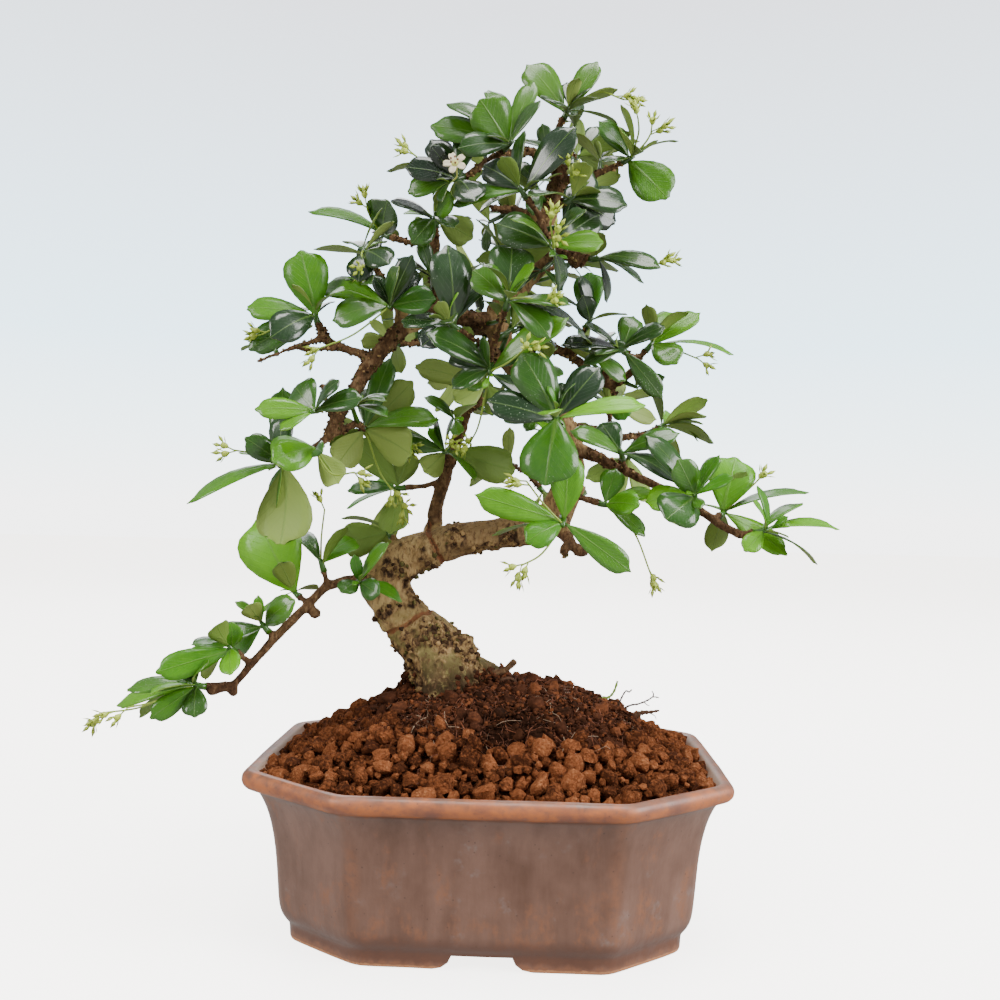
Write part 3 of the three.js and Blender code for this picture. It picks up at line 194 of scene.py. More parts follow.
def place_backdrop():
    """Pale air: the camera sees it white at the floor and bluish above. It lights softly, most from below."""
    world = bpy.data.worlds.new("backdrop")
    world.use_nodes = True
    start = Shade(world.node_tree)
    height = start.node("SeparateXYZ", {0: start.node("TexCoord", out="Generated")}, out="Z")
    light = start.node("Background", {"Color": height.ramp(*AIR["light"])})
    seen = start.node("Background", {"Color": height.ramp(*AIR["seen"]), "Strength": AIR["glow"]})
    air = start.node("MixShader", {0: start.node("LightPath", out="Is Camera Ray"), 1: light, 2: seen})
    start.tree.links.new(air.socket, start.tree.nodes["World Output"].inputs[0])
    bpy.context.scene.world = world


def deselect():
    bpy.ops.object.select_all(action="DESELECT")


deselect()
place_camera()
place_lights()
place_backdrop()
bpy.ops.mesh.primitive_plane_add(size=FLOOR["wide"], location=(0, 0, -FLOOR["below"]))
floor = bpy.context.object
floor.name = "floor"
floor.visible_diffuse = floor.visible_glossy = False
floor_paint = bpy.data.materials.new("floor_paint")
floor_paint.use_nodes = True
for socket, value in FLOOR_FINISH.items():
    floor_paint.node_tree.nodes["Principled BSDF"].inputs[socket].default_value = value
floor.data.materials.append(floor_paint)


# The pot: slip-cast stoneware, an octagon longer than it is deep, with a rolled rim, a foot ring with a
# notch front and back and two drain holes. Its mauve-brown glaze breaks to rust where it runs thin on
# the lip and the corners, and the foot's underside is bare clay.
POT = {"half_width": 85, "half_depth": 69, "corner_x": 47, "corner_y": 40.5, "floor": 12, "round": 4,
       "drain_radius": 7, "drain_x": 32, "drain_high": (2.5, 14.5)}
POT_SIDE = [  # in from the rim and up, from the foot over the lip to the floor inside
    (16.5, 0), (16.3, 1.6), (16.2, 4.4), (15.8, 5.9), (14.6, 7.3), (13.5, 9.2), (12.6, 12), (12.2, 17.5),
    (11.7, 24), (10.8, 34.5), (8.8, 44.5), (6.6, 50), (5.2, 52.6), (3.4, 53.4), (1.6, 53.9), (0.4, 55.2),
    (0, 57), (0.4, 58.8), (1.6, 59.9), (3, 60.1), (4.6, 59.7), (5.7, 58.4), (6.6, 57.2), (11, 53),
    (14.8, 44.5), (17, 34.5), (18.6, 17.5), (19.4, 13.2), (21, 11.5),
]
POT_UNDERSIDE = [(0.8, 0), (8.2, 0), (9, 0.6), (9.6, 5), (11, 5.5)]  # in from the foot's edge, and up
NOTCH = [(18.5, -1), (17.5, 0), (13.4, 0.9), (11.1, 2.6), (10, 5)]  # half its outline, X and Z
CAST_WAVES = {"size": 35, "high": 0.8}  # how uneven the cast walls are
THIN = {"insets": (0, 6, 12), "reach": 7}  # where the glaze runs thin: near the corners at these insets
# The foot colour is painted shade: the foot ring, tucked in under the body, is painted darker with it.
GLAZE = {"mauve": (0.205, 0.106, 0.073), "brown": (0.118, 0.052, 0.030), "blue": (0.24, 0.20, 0.19),
         "rust": (0.27, 0.104, 0.046), "orange": (0.47, 0.140, 0.040), "plum": (0.20, 0.075, 0.045),
         "inside": (0.29, 0.185, 0.13), "bare": (0.46, 0.20, 0.09), "foot": (0.115, 0.040, 0.019),
         "pinhole": (0.045, 0.025, 0.02)}


def shading(name):
    """The start of a new material's shading."""
    material = bpy.data.materials.new(name)
    material.use_nodes = True
    start = Shade(material.node_tree)
    start.material = material
    return start


def surface(shade, colour, roughness, bump=None, depth=0.2, coat=0.0, **fixed):
    """The finished material: what changes over it goes to the shader, and the rest is set on its sockets."""
    shader = shade.tree.nodes["Principled BSDF"]
    for socket, value in (("Base Color", colour), ("Roughness", roughness), ("Coat Weight", coat)):
        if isinstance(value, Shade):
            shade.tree.links.new(value.socket, shader.inputs[socket])
        else:
            shader.inputs[socket].default_value = value
    if bump is not None:
        bumped = shade.node("Bump", {"Height": bump, "Strength": 1.0, "Distance": depth * MM}, out="Normal")
        shade.tree.links.new(bumped.socket, shader.inputs["Normal"])
    for socket, value in fixed.items():
        shader.inputs[socket.replace("_", " ")].default_value = value
    return shade.material


def finished(piece, name, material, slot, *nodes):
    """Names a piece, gives it its material, and puts it in the place of the nodes that it stands for."""
    piece.name = name
    piece.data.name = name
    piece.data.materials.clear()
    piece.data.materials.append(material)
    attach(piece, "root")
    if nodes:
        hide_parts(*nodes)


def marked(piece, name, values):
    """Gives each point of a piece a number that its material reads."""
    layer = piece.data.attributes.new(name, "FLOAT", "POINT")
    layer.data.foreach_set("value", np.asarray(values, np.float32))


def only(piece):
    """Selects one object, and makes it the active one."""
    deselect()
    piece.select_set(True)
    bpy.context.view_layer.objects.active = piece


def modified(piece, kind, **settings):
    """Adds a modifier and applies it."""
    only(piece)
    modifier = piece.modifiers.new(kind.lower(), kind)
    for name, value in settings.items():
        setattr(modifier, name, value)
    bpy.ops.object.modifier_apply(modifier=modifier.name)


def pot_corners(inset):
    """The octagon's corners, that far in from the rim."""
    x, y = POT["half_width"] - inset, POT["half_depth"] - inset
    cut_x, cut_y = POT["corner_x"] - inset / 3, POT["corner_y"] - inset / 2
    corners = [(cut_x, -y), (x, -cut_y), (x, cut_y), (cut_x, y), (-cut_x, y), (-x, cut_y), (-x, -cut_y),
               (-cut_x, -y)]
    return [POT_MIDDLE + Vector((px * MM, py * MM, 0)) for px, py in corners]


def pot_inset(x, y):
    """How far in from the rim a place lies, in millimetres, the place measured from the pot's middle."""
    run, rise = POT["half_width"] - POT["corner_x"], POT["half_depth"] - POT["corner_y"]
    slant = (rise * (POT["corner_x"] - abs(x)) + run * (POT["half_depth"] - abs(y))) / math.hypot(run, rise)
    return min(POT["half_width"] - abs(x), POT["half_depth"] - abs(y), slant)


def bearing(place):
    """The direction of a place from the pot's middle."""
    return math.atan2(place.y, place.x - POT_MIDDLE.x)


def ringed(piece, inset, height):
    """Puts the selected ring of corners of the piece that is being edited at that level."""
    mesh = bmesh.from_edit_mesh(piece.data)
    ring = sorted((vertex for vertex in mesh.verts if vertex.select), key=lambda vertex: bearing(vertex.co))
    for vertex, corner in zip(ring, sorted(pot_corners(inset), key=bearing)):
        vertex.co = (corner.x, corner.y, height * MM)
    bmesh.update_edit_mesh(piece.data)


def cutter(points, half):
    """A prism along Y for a cut in the foot, from its outline in X and Z and half its length."""
    bpy.ops.mesh.primitive_circle_add(vertices=len(points), fill_type="NGON")
    prism = bpy.context.object
    for vertex, (x, z) in zip(prism.data.vertices, points):
        vertex.co = (POT_MIDDLE.x + x * MM, -half * MM, z * MM)
    bpy.ops.object.mode_set(mode="EDIT")
    bpy.ops.mesh.select_all(action="SELECT")
    bpy.ops.mesh.extrude_region_move(TRANSFORM_OT_translate={"value": (0, 2 * half * MM, 0)})
    bpy.ops.mesh.select_all(action="SELECT")
    bpy.ops.mesh.normals_make_consistent(inside=False)
    bpy.ops.object.mode_set(mode="OBJECT")
    return prism


def cut_away(piece, tool):
    modified(piece, "BOOLEAN", object=tool, operation="DIFFERENCE", solver="EXACT")
    bpy.data.objects.remove(tool)


def make_pot():
    deselect()
    bpy.ops.mesh.primitive_circle_add(vertices=8, radius=0.1, fill_type="NGON", location=POT_MIDDLE)
    piece = bpy.context.object
    bpy.ops.object.transform_apply(location=True)
    bpy.ops.object.mode_set(mode="EDIT")
    bpy.ops.mesh.select_mode(type="VERT")
    bpy.ops.mesh.select_all(action="SELECT")
    ringed(piece, *POT_SIDE[0])
    for inset, height in POT_SIDE[1:]:
        bpy.ops.mesh.extrude_region_move(TRANSFORM_OT_translate={"value": (0, 0, MM)})
        ringed(piece, inset, height)
    # The ring's recessed underside
    mesh = bmesh.from_edit_mesh(piece.data)
    bpy.ops.mesh.select_all(action="DESELECT")
    for vertex in mesh.verts:
        vertex.select = abs(vertex.co.z) < 1e-6
    mesh.select_flush(True)
    bmesh.update_edit_mesh(piece.data)
    if not any(face.select for face in mesh.faces):
        bpy.ops.mesh.edge_face_add()
    for inset, height in POT_UNDERSIDE:
        bpy.ops.mesh.extrude_region_move(TRANSFORM_OT_translate={"value": (0, 0, MM)})
        ringed(piece, POT_SIDE[0][0] + inset, height)
    # The upright corners, rounded: the edges whose ends lie in one direction from the pot's middle
    bpy.ops.mesh.select_all(action="DESELECT")
    mesh = bmesh.from_edit_mesh(piece.data)
    for edge in mesh.edges:
        low, high = (vertex.co for vertex in edge.verts)
        edge.select = abs(bearing(low) - bearing(high)) < 0.12 and (low - high).length > 1e-6
    bmesh.update_edit_mesh(piece.data)
    bpy.ops.mesh.bevel(offset=POT["round"] * MM, segments=3, profile=0.5, clamp_overlap=True)
    bpy.ops.mesh.select_all(action="SELECT")
    bpy.ops.mesh.remove_doubles(threshold=0.02 * MM)
    bpy.ops.mesh.normals_make_consistent(inside=False)
    bpy.ops.object.mode_set(mode="OBJECT")
    modified(piece, "SUBSURF", levels=2, render_levels=2)
    waves = bpy.data.textures.new("cast_waves", "CLOUDS")
    waves.noise_scale, waves.noise_depth = CAST_WAVES["size"] * MM, 1
    modified(piece, "DISPLACE", texture=waves, texture_coords="GLOBAL", strength=CAST_WAVES["high"] * MM,
             mid_level=0.5)
    mirrored = [(-x, z) for x, z in reversed(NOTCH)]
    cut_away(piece, cutter(mirrored[-1:] + NOTCH + mirrored[:-1], POT["half_depth"]))
    low, high = POT["drain_high"]
    for x in (-POT["drain_x"], POT["drain_x"]):
        deselect()
        middle = POT_MIDDLE + Vector((x, 0, (low + high) / 2)) * MM
        bpy.ops.mesh.primitive_cylinder_add(vertices=32, radius=POT["drain_radius"] * MM,
                                            depth=(high - low) * MM, location=middle)
        cut_away(piece, bpy.context.object)
    for vertex in piece.data.vertices:
        vertex.co.z = max(0, vertex.co.z)
    only(piece)
    bpy.ops.object.shade_smooth_by_angle(angle=math.radians(38))
    return piece


def paint_thin_glaze(piece):
    """Marks how thin the glaze has run, most near the corners, and which walls face inwards."""
    corners = [corner for inset in THIN["insets"] for corner in pot_corners(inset)]
    thin, inside = [], []
    for vertex in piece.data.vertices:
        co, normal = vertex.co, vertex.normal
        near = min((Vector((co.x, co.y, 0)) - corner).length for corner in corners)
        thin.append(max(0, 1 - near / (THIN["reach"] * MM)))
        out = Vector((co.x - POT_MIDDLE.x, co.y, 0)).normalized()
        inside.append(max(0, -out.dot(normal)) if co.z > POT["floor"] * MM else 0)
    marked(piece, "corner", thin)
    marked(piece, "inside", inside)


def glaze():
    start = shading("mauve_glaze")
    height = start.along("Z") / MM
    cloud = start.noise(26, 4, 0.6)
    fine = start.noise(2.2, 3, 0.6)
    runs = start.noise(5, 3, 0.55, stretch=(1, 1, 0.25))
    streak = start.noise(8, 4, 0.6, stretch=(1, 1, 0.14))
    colour = (cloud * 0.55 + streak * 0.45).ramp((0.36, GLAZE["brown"]), (0.60, GLAZE["mauve"]))
    blue = start.noise(12, 4, 0.65).above(0.57, 0.74) * cloud.above(0.44, 0.62)
    colour = colour.to(GLAZE["blue"], blue * 0.7)
    edge = start.attribute("corner") * (runs + 0.35)
    low = (height + (runs - 0.5) * 5).above(3.8, 1.6) * 0.8
    rust = (edge.above(0.3, 1.0) * 0.6).maths("MAXIMUM", low)
    patches = start.noise(9, 4, 0.7, stretch=(1, 1, 0.5)) + height.above(36, 12) * 0.07
    rust = rust.maths("MAXIMUM", patches.above(0.55, 0.72) * 0.65)
    colour = colour.to(GLAZE["rust"], rust * fine.above(0.2, 0.62))
    lip = (height + (fine - 0.5) * 2.2).above(52.4, 54) * (height + (runs - 0.5) * 9).above(61.5, 57.5)
    broken = start.noise(11, 4, 0.6, stretch=(1, 1, 1.6)).above(0.66, 0.34)
    rim = broken.ramp((0, GLAZE["plum"]), (1, GLAZE["orange"]))
    colour = colour.to(rim, lip * fine.above(0.1, 0.5) * 0.92)
    colour = colour.to(GLAZE["inside"], start.attribute("inside").above(0.15, 0.6))
    colour = colour.to(GLAZE["pinhole"], start.cells(3.2).above(0.12, 0.05) * 0.5)
    # Painted shade: the foot ring is painted darker from about 13 mm down, where the body overhangs it.
    painted_foot_shade = (height + (cloud - 0.5) * 6).above(13, 8) * 0.8
    colour = colour.to(GLAZE["foot"], painted_foot_shade * (1 - low))
    bare = (height + (fine - 0.5) * 1.4).above(1.5, 0.9)
    colour = colour.to(GLAZE["bare"], bare)
    roughness = 0.30 + fine * 0.16 + rust * 0.12 + bare * 0.4 + lip * 0.12
    return surface(start, colour, roughness, runs * 0.5 + fine * 0.35, 0.22, 0.25 - lip * 0.17,
                   Coat_Roughness=0.2)


pot = make_pot()
paint_thin_glaze(pot)
finished(pot, "glazed_pot", glaze(), "glaze", "pot")


# The soil: fired clay granules of 3 to 8 mm, poured round the root ball and heaped up towards it. They
# lie loose on each other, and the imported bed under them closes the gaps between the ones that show.
SOIL = {"kinds": 12, "wall": {"soil_bed": 5.4, "root_ball": 10}, "squash": (0.7, 1.0), "bed_down": 2.2,
        "half": (80, 64), "drop_from": 0.099, "bed_over": 0.05}
SUNK = {"soil": 4.6, "by_wall": 2.4, "wall_near": 6, "wall_far": 14, "ball": 2.4}
POURS = [  # how many are dropped, their radius from and to, how far apart, and how high they lie
    (1500, (2.8, 4.2), 0.84, 0.2), (6500, (1.7, 2.8), 0.80, 0.3), (9000, (1.0, 1.8), 0.75, 0.35),
    (900, (1.9, 3.2), 0.95, 1.2), (2500, (0.9, 1.7), 0.85, 1.4),
]
CHIPS = {"count": 3, "depth": (0.36, 0.47)}  # the flat breaks on a granule
KNOBS = [(2.6, 0.20), (6.5, 0.13)]  # how close together its knobs are, and how far they stand out
CLAY = {"dark": (0.060, 0.019, 0.008), "rust": (0.26, 0.084, 0.031), "pale": (0.48, 0.190, 0.080)}


def share(number):
    """The number, kept between 0 and 1."""
    return min(1, max(0, number))


def built(name, points, faces):
    """A new mesh object from points in metres and faces."""
    mesh = bpy.data.meshes.new(name)
    mesh.from_pydata(np.asarray(points, float).tolist(), [], [tuple(map(int, face)) for face in faces])
    mesh.update()
    piece = bpy.data.objects.new(name, mesh)
    bpy.context.scene.collection.objects.link(piece)
    return piece


def copied(node, name):
    """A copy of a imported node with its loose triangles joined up."""
    piece = built(name, [], [])
    piece.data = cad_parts[node].data.copy()
    mesh = bmesh.new()
    mesh.from_mesh(piece.data)
    bmesh.ops.remove_doubles(mesh, verts=mesh.verts, dist=0.005 * MM)
    mesh.to_mesh(piece.data)
    mesh.free()
    return piece


def lump_kinds(count, rough, seed, small=False):
    """Corners and faces of a few knobbly lumps about 1 across, each with a few dozen faces or fewer."""
    kinds = []
    for k in range(count):
        deselect()
        if small:
            bpy.ops.mesh.primitive_ico_sphere_add(subdivisions=1, radius=0.5)
        else:
            bpy.ops.mesh.primitive_cube_add(size=1)
        lump = bpy.context.object
        bpy.ops.object.mode_set(mode="EDIT")
        bpy.ops.mesh.select_all(action="SELECT")
        if not small:
            bpy.ops.mesh.subdivide(number_cuts=2)
            bpy.ops.transform.tosphere(value=0.8)
        bpy.ops.transform.vertex_random(offset=rough, seed=seed + k)
        bpy.ops.object.mode_set(mode="OBJECT")
        corners = np.array([v.co for v in lump.data.vertices])
        faces = np.array([list(f.vertices) for f in lump.data.polygons])
        corners -= corners.mean(0)
        for often, far in () if small else KNOBS:
            swell = [noise.noise(Vector(corner) * often + Vector((seed + k, 0, 0))) for corner in corners]
            corners *= 1 + far * 2 * np.array(swell)[:, None]
        draw = random.Random(seed + k)
        for _ in range(CHIPS["count"]):
            way = turned(draw)[0]
            corners -= np.maximum(corners @ way - draw.uniform(*CHIPS["depth"]), 0)[:, None] * way
        kinds.append((corners / (2 * np.linalg.norm(corners, axis=1).mean()), faces))
        bpy.data.objects.remove(lump)
    return kinds


def turned(draw):
    """A random rotation."""
    axis = Vector((draw.gauss(0, 1), draw.gauss(0, 1), draw.gauss(0, 1))).normalized()
    return np.array(Matrix.Rotation(draw.uniform(0, 2 * math.pi), 3, axis))


def heap(name, kinds, places, draw, squash):
    """One mesh of many lumps. Each place is a lump's middle in metres and its radius in millimetres."""
    points, faces, tints, count = [], [], [], 0
    for middle, radius in places:
        corners, sides = draw.choice(kinds)
        stretch = np.array([draw.uniform(0.85, 1.15), draw.uniform(0.8, 1.1), draw.uniform(*squash)])
        points.append((corners * stretch) @ turned(draw).T * 2 * radius * MM + np.array(middle))
        faces.append(sides + count)
        tints.append(np.full(len(corners), draw.random()))
        count += len(corners)
    piece = built(name, np.concatenate(points), np.concatenate(faces))
    marked(piece, "tint", np.concatenate(tints))
    only(piece)
    bpy.ops.object.shade_smooth_by_angle(angle=math.radians(55))
    return piece


def sunk(node, x, y):
    """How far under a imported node's top the lumps lie, in millimetres, so that they end level with it."""
    if node == "root_ball":
        return SUNK["ball"]
    by_wall = share((SUNK["wall_far"] - pot_inset(x, y)) / (SUNK["wall_far"] - SUNK["wall_near"]))
    return SUNK["by_wall"] * by_wall + SUNK["soil"] * (1 - by_wall)


def node_tree(node):
    """A node's surface, to measure against."""
    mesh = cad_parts[node].data
    return BVHTree.FromPolygons([v.co for v in mesh.vertices], [list(p.vertices) for p in mesh.polygons])


GROUND = {name: node_tree(name) for name in ("soil_bed", "root_ball")}
WOOD = node_tree("trunk")


def ground_at(x, y):
    """The node that a drop at that place lands on, and where it lands."""
    start = Vector((POT_MIDDLE.x + x * MM, POT_MIDDLE.y + y * MM, SOIL["drop_from"]))
    hits = [(tree.ray_cast(start, Vector((0, 0, -1)))[0], name) for name, tree in GROUND.items()]
    hits = [(hit - Vector((0, 0, sunk(name, x, y) * MM)), name) for hit, name in hits if hit]
    return max(hits, key=lambda found: found[0].z) if hits else (None, None)


class Laid:
    """What lies where so far, kept in cubic cells so that a new thing soon finds its neighbours."""

    def __init__(self, cell=9 * MM):
        self.cell, self.cells = cell, {}

    def cell_of(self, co):
        return tuple(int(c // self.cell) for c in co)

    def clear(self, co, radius, spread):
        """Whether nothing laid so far lies nearer than that share of the two radii put together."""
        i, j, k = self.cell_of(co)
        cells = [(i + a, j + b, k + c) for a in (-1, 0, 1) for b in (-1, 0, 1) for c in (-1, 0, 1)]
        return all((co - middle).length > spread * (radius + other) * MM
                   for cell in cells for middle, other in self.cells.get(cell, []))

    def add(self, co, radius):
        self.cells.setdefault(self.cell_of(co), []).append((co, radius))


def poured(draw, laid, node, tries, radii, spread, lift):
    """Lumps dropped at random places on a node, each clear of those that lie there and of the wood."""
    places = []
    for _ in range(tries):
        x, y = (draw.uniform(-half, half) for half in SOIL["half"])
        radius = draw.uniform(*radii)
        if pot_inset(x, y) < SOIL["wall"][node] + radius * 0.7:
            continue
        hit, name = ground_at(x, y)
        if name != node:
            continue
        middle = hit + Vector((0, 0, lift * radius * MM))
        if WOOD.find_nearest(middle, radius * 0.9 * MM)[0] or not laid.clear(middle, radius, spread):
            continue
        laid.add(middle, radius)
        places.append((middle, radius))
    return places


def clay():
    start = shading("fired_clay")
    tint = start.attribute("tint")
    grain = start.noise(1.3, 5, 0.75)
    crumb = start.noise(4, 3, 0.6)
    warp = start.noise(1.1, 2, out="Color").lit(0.0006)
    place = start.node("VectorMath", {0: start.coordinates(), 1: warp}, operation="ADD")
    pits = start.cells(1.5, at=place).above(0.0, 0.6)
    shade = tint * 0.28 + grain * 0.85 + crumb * 0.25 - pits * 0.18
    colour = shade.ramp((0.38, CLAY["dark"]), (0.62, CLAY["rust"]), (0.95, CLAY["pale"]))
    return surface(start, colour, 0.95, grain * 1.3 + crumb - pits * 0.5, 1.5, Specular_IOR_Level=0.05)


def make_soil():
    draw = random.Random(11)
    laid = Laid()
    places = []
    for pour in POURS:
        places += poured(draw, laid, "soil_bed", *pour)
    granules = heap("granules", lump_kinds(SOIL["kinds"], 0.07, 3), places, draw, SOIL["squash"])
    bed = copied("soil_bed", "bed")
    for vertex in bed.data.vertices:
        if vertex.co.z > SOIL["bed_over"]:
            x, y = (vertex.co.x - POT_MIDDLE.x) / MM, vertex.co.y / MM
            vertex.co.z -= (SOIL["bed_down"] + sunk("soil_bed", x, y)) * MM
    marked(bed, "tint", np.full(len(bed.data.vertices), 0.1))
    finish = clay()
    finished(bed, "soil_under", finish, "granules", "soil_bed")
    finished(granules, "soil_granules", finish, "granules")
    return laid, finish


LAID, CLAY_FINISH = make_soil()


# The root ball: the block of dark peat and matted fine roots that the tree was lifted with. It stands a
# little out of the granules round the trunk's foot, frays into loose red-brown and a few white fibres,
# and crumbs of it and stray granules lie over it.
PEAT = {"black": (0.014, 0.006, 0.003), "brown": (0.078, 0.028, 0.014), "red": (0.25, 0.082, 0.032),
        "dark_at": (0.022, -0.034, 0.072), "dark_wide": (17, 8)}
BALL = {"voxel": 1.5, "sinks": (50, 60), "rough": [(6, 3.2), (1.8, 1.2)]}  # it sinks fully above 60 mm
PEAT_POURS = {  # as for the granules
    "clods": (900, (1.6, 3.6), 0.8, 0.35), "crumbs": (3000, (0.7, 1.9), 0.7, 0.4),
    "strays": (260, (1.3, 2.8), 0.8, 0.45),
}
PEAT_PATCH = {  # where its crumbs spread over the granules
    "x": 12 - POT_MIDDLE.x / MM, "y": -8, "long": 56, "deep": 34, "count": 7000, "radius": (0.35, 1.15),
    "lift": (0.6, 2.2),
}
COLLAR = {  # crumbs round the trunk's foot, which lies between two heights, round one X, all in metres
    "foot": (0.078, 0.1), "middle": -0.003, "left_of": -0.015, "count": 6000, "wide": 10, "high": 8,
    "more_left": 3, "radius": (0.4, 1.2),
}
ROOTS = {"count": 1100, "long": (6, 26), "thick": (0.08, 0.21), "lift": (0.1, 2.4), "step": 2.4,
         "wall": 11, "white_share": 0.1}
ROOT_COLOURS = {"red": (0.24, 0.070, 0.025), "brown": (0.090, 0.030, 0.014), "white": (0.38, 0.26, 0.17)}


def tube(path, radii, sides):
    """A thin round stem along a path, closed at both ends: its points in metres, and its faces."""
    path = np.asarray(path, float) * MM
    radii = np.broadcast_to(np.multiply(radii, MM), len(path))
    along = np.gradient(path, axis=0)
    along /= np.linalg.norm(along, axis=1)[:, None] + 1e-12
    side = np.cross(along[0], (0.3, 0.2, 1.0))
    rings = []
    for k, way in enumerate(along):
        side = side - way * side.dot(way)
        side /= np.linalg.norm(side) + 1e-12
        over = np.cross(way, side)
        turns = 2 * np.pi * np.arange(sides) / sides
        rings.append(path[k] + radii[k] * (np.cos(turns)[:, None] * side + np.sin(turns)[:, None] * over))
    points = np.concatenate([*rings, path[:1], path[-1:]])
    last = len(path) - 1
    faces = []
    for i in range(sides):
        j = (i + 1) % sides
        faces += [(k + i, k + j, k + sides + j, k + sides + i) for k in range(0, last * sides, sides)]
        faces += [(j, i, (last + 1) * sides), (last * sides + i, last * sides + j, (last + 1) * sides + 1)]
    return points, faces


def gathered(name, parts, marks):
    """One mesh of many small parts. Each is its points, its faces and a number for each mark."""
    points, faces, count = [], [], 0
    values = {mark: [] for mark in marks}
    for corners, sides, *numbers in parts:
        points.append(corners)
        faces += [tuple(i + count for i in face) for face in sides]
        for mark, number in zip(marks, numbers):
            values[mark].append(np.broadcast_to(number, len(corners)))
        count += len(corners)
    piece = built(name, np.concatenate(points), faces)
    for mark in marks:
        marked(piece, mark, np.concatenate(values[mark]))
    only(piece)
    bpy.ops.object.shade_smooth()
    return piece


def root_fibre(draw, x, y):
    """A fine root that wanders over the soil, dips into it and rises off it again."""
    heading, length = draw.uniform(0, 2 * math.pi), draw.uniform(*ROOTS["long"])
    low, high = ROOTS["lift"]
    phase, rise = draw.uniform(0, 6.28), draw.uniform(low, high) * draw.random()
    path = []
    steps = max(5, int(length / ROOTS["step"]))
    for k in range(steps):
        hit, _ = ground_at(x, y)
        if not hit or pot_inset(x, y) < ROOTS["wall"]:
            break
        arch = rise * math.sin(math.pi * k / (steps - 1)) + 0.5 * math.sin(2.1 * k + phase)
        path.append(np.array(hit + Vector((0, 0, (0.5 + arch) * MM))) / MM)
        heading += draw.uniform(-0.75, 0.75)
        x, y = x + ROOTS["step"] * math.cos(heading), y + ROOTS["step"] * math.sin(heading)
    if len(path) < 4:
        return None
    thick = draw.uniform(*ROOTS["thick"])
    return tube(path, np.linspace(thick, thick * 0.45, len(path)), 3)


def peat():
    start = shading("matted_peat")
    fibre = start.noise(1.6, 5, 0.7, stretch=(0.5, 1, 1))
    crumb = start.noise(5, 4, 0.65)
    shade = fibre * 0.45 + crumb * 0.35 + start.attribute("tint") * 0.3
    colour = shade.ramp((0.34, PEAT["black"]), (0.56, PEAT["brown"]), (0.80, PEAT["red"]))
    away = start.node("VectorMath", {0: start.coordinates(), 1: PEAT["dark_at"]}, 1, operation="DISTANCE")
    colour = colour.to(PEAT["black"], (away / MM + crumb * 8 - 4).above(*PEAT["dark_wide"]) * 0.75)
    return surface(start, colour, 0.95, fibre + crumb, 0.9, Specular_IOR_Level=0.05)


def fibre():
    start = shading("root_fibre")
    tint = start.attribute("tint")
    colour = tint.ramp((0, ROOT_COLOURS["brown"]), (0.7, ROOT_COLOURS["red"]))
    colour = colour.to(ROOT_COLOURS["white"], tint.above(0.98, 0.99))
    return surface(start, colour, 0.7)


def peat_crumbs(draw):
    """Crumbs over the root ball and over the granules next to it."""
    places = poured(draw, LAID, "root_ball", *PEAT_POURS["crumbs"])
    over = Laid()
    for _ in range(PEAT_PATCH["count"]):
        turn, reach = draw.uniform(0, 2 * math.pi), draw.random() ** 0.6
        x = PEAT_PATCH["x"] + reach * PEAT_PATCH["long"] * math.cos(turn)
        y = PEAT_PATCH["y"] + reach * PEAT_PATCH["deep"] * math.sin(turn)
        radius = draw.uniform(*PEAT_PATCH["radius"]) * (1.25 - 0.5 * reach)
        hit, _ = ground_at(x, y)
        middle = hit + Vector((0, 0, draw.uniform(*PEAT_PATCH["lift"]) * MM)) if hit else None
        if not hit or WOOD.find_nearest(middle, radius * 0.8 * MM)[0] or not over.clear(middle, radius, 0.7):
            continue
        over.add(middle, radius)
        places.append((middle, radius))
    return places


def collar_crumbs(draw):
    """Crumbs banked up against the foot of the trunk. The lowest are laid first, and each has something to
    lie on or against: the ground, another crumb or the wood."""
    low, high = COLLAR["foot"]
    foot = [v.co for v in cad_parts["trunk"].data.vertices if low < v.co.z < high]
    banked = []
    for _ in range(COLLAR["count"]):
        start, radius = draw.choice(foot), draw.uniform(*COLLAR["radius"])
        away = Vector((start.x - COLLAR["middle"], start.y, 0))
        spot = start + away.normalized() * draw.random() ** 1.5 * COLLAR["wide"] * MM
        hit, _ = ground_at((spot.x - POT_MIDDLE.x) / MM, spot.y / MM)
        if hit:
            near = WOOD.find_nearest(Vector((spot.x, spot.y, hit.z)))[3] / MM
            bank = COLLAR["high"] + COLLAR["more_left"] * (start.x < COLLAR["left_of"])
            lift = draw.random() * bank * max(0, 1 - near / COLLAR["wide"]) ** 1.6
            banked.append((lift, Vector((spot.x, spot.y, hit.z + lift * MM)), radius))
    laid, places = Laid(3 * MM), []
    for lift, middle, radius in sorted(banked, key=lambda crumb: crumb[0]):
        by_wood = WOOD.find_nearest(middle, radius * MM)[0]
        held = lift < radius or by_wood or not laid.clear(middle, radius, 0.9)
        if held and laid.clear(middle, radius, 0.45):
            laid.add(middle, radius)
            places.append((middle, radius))
    return places


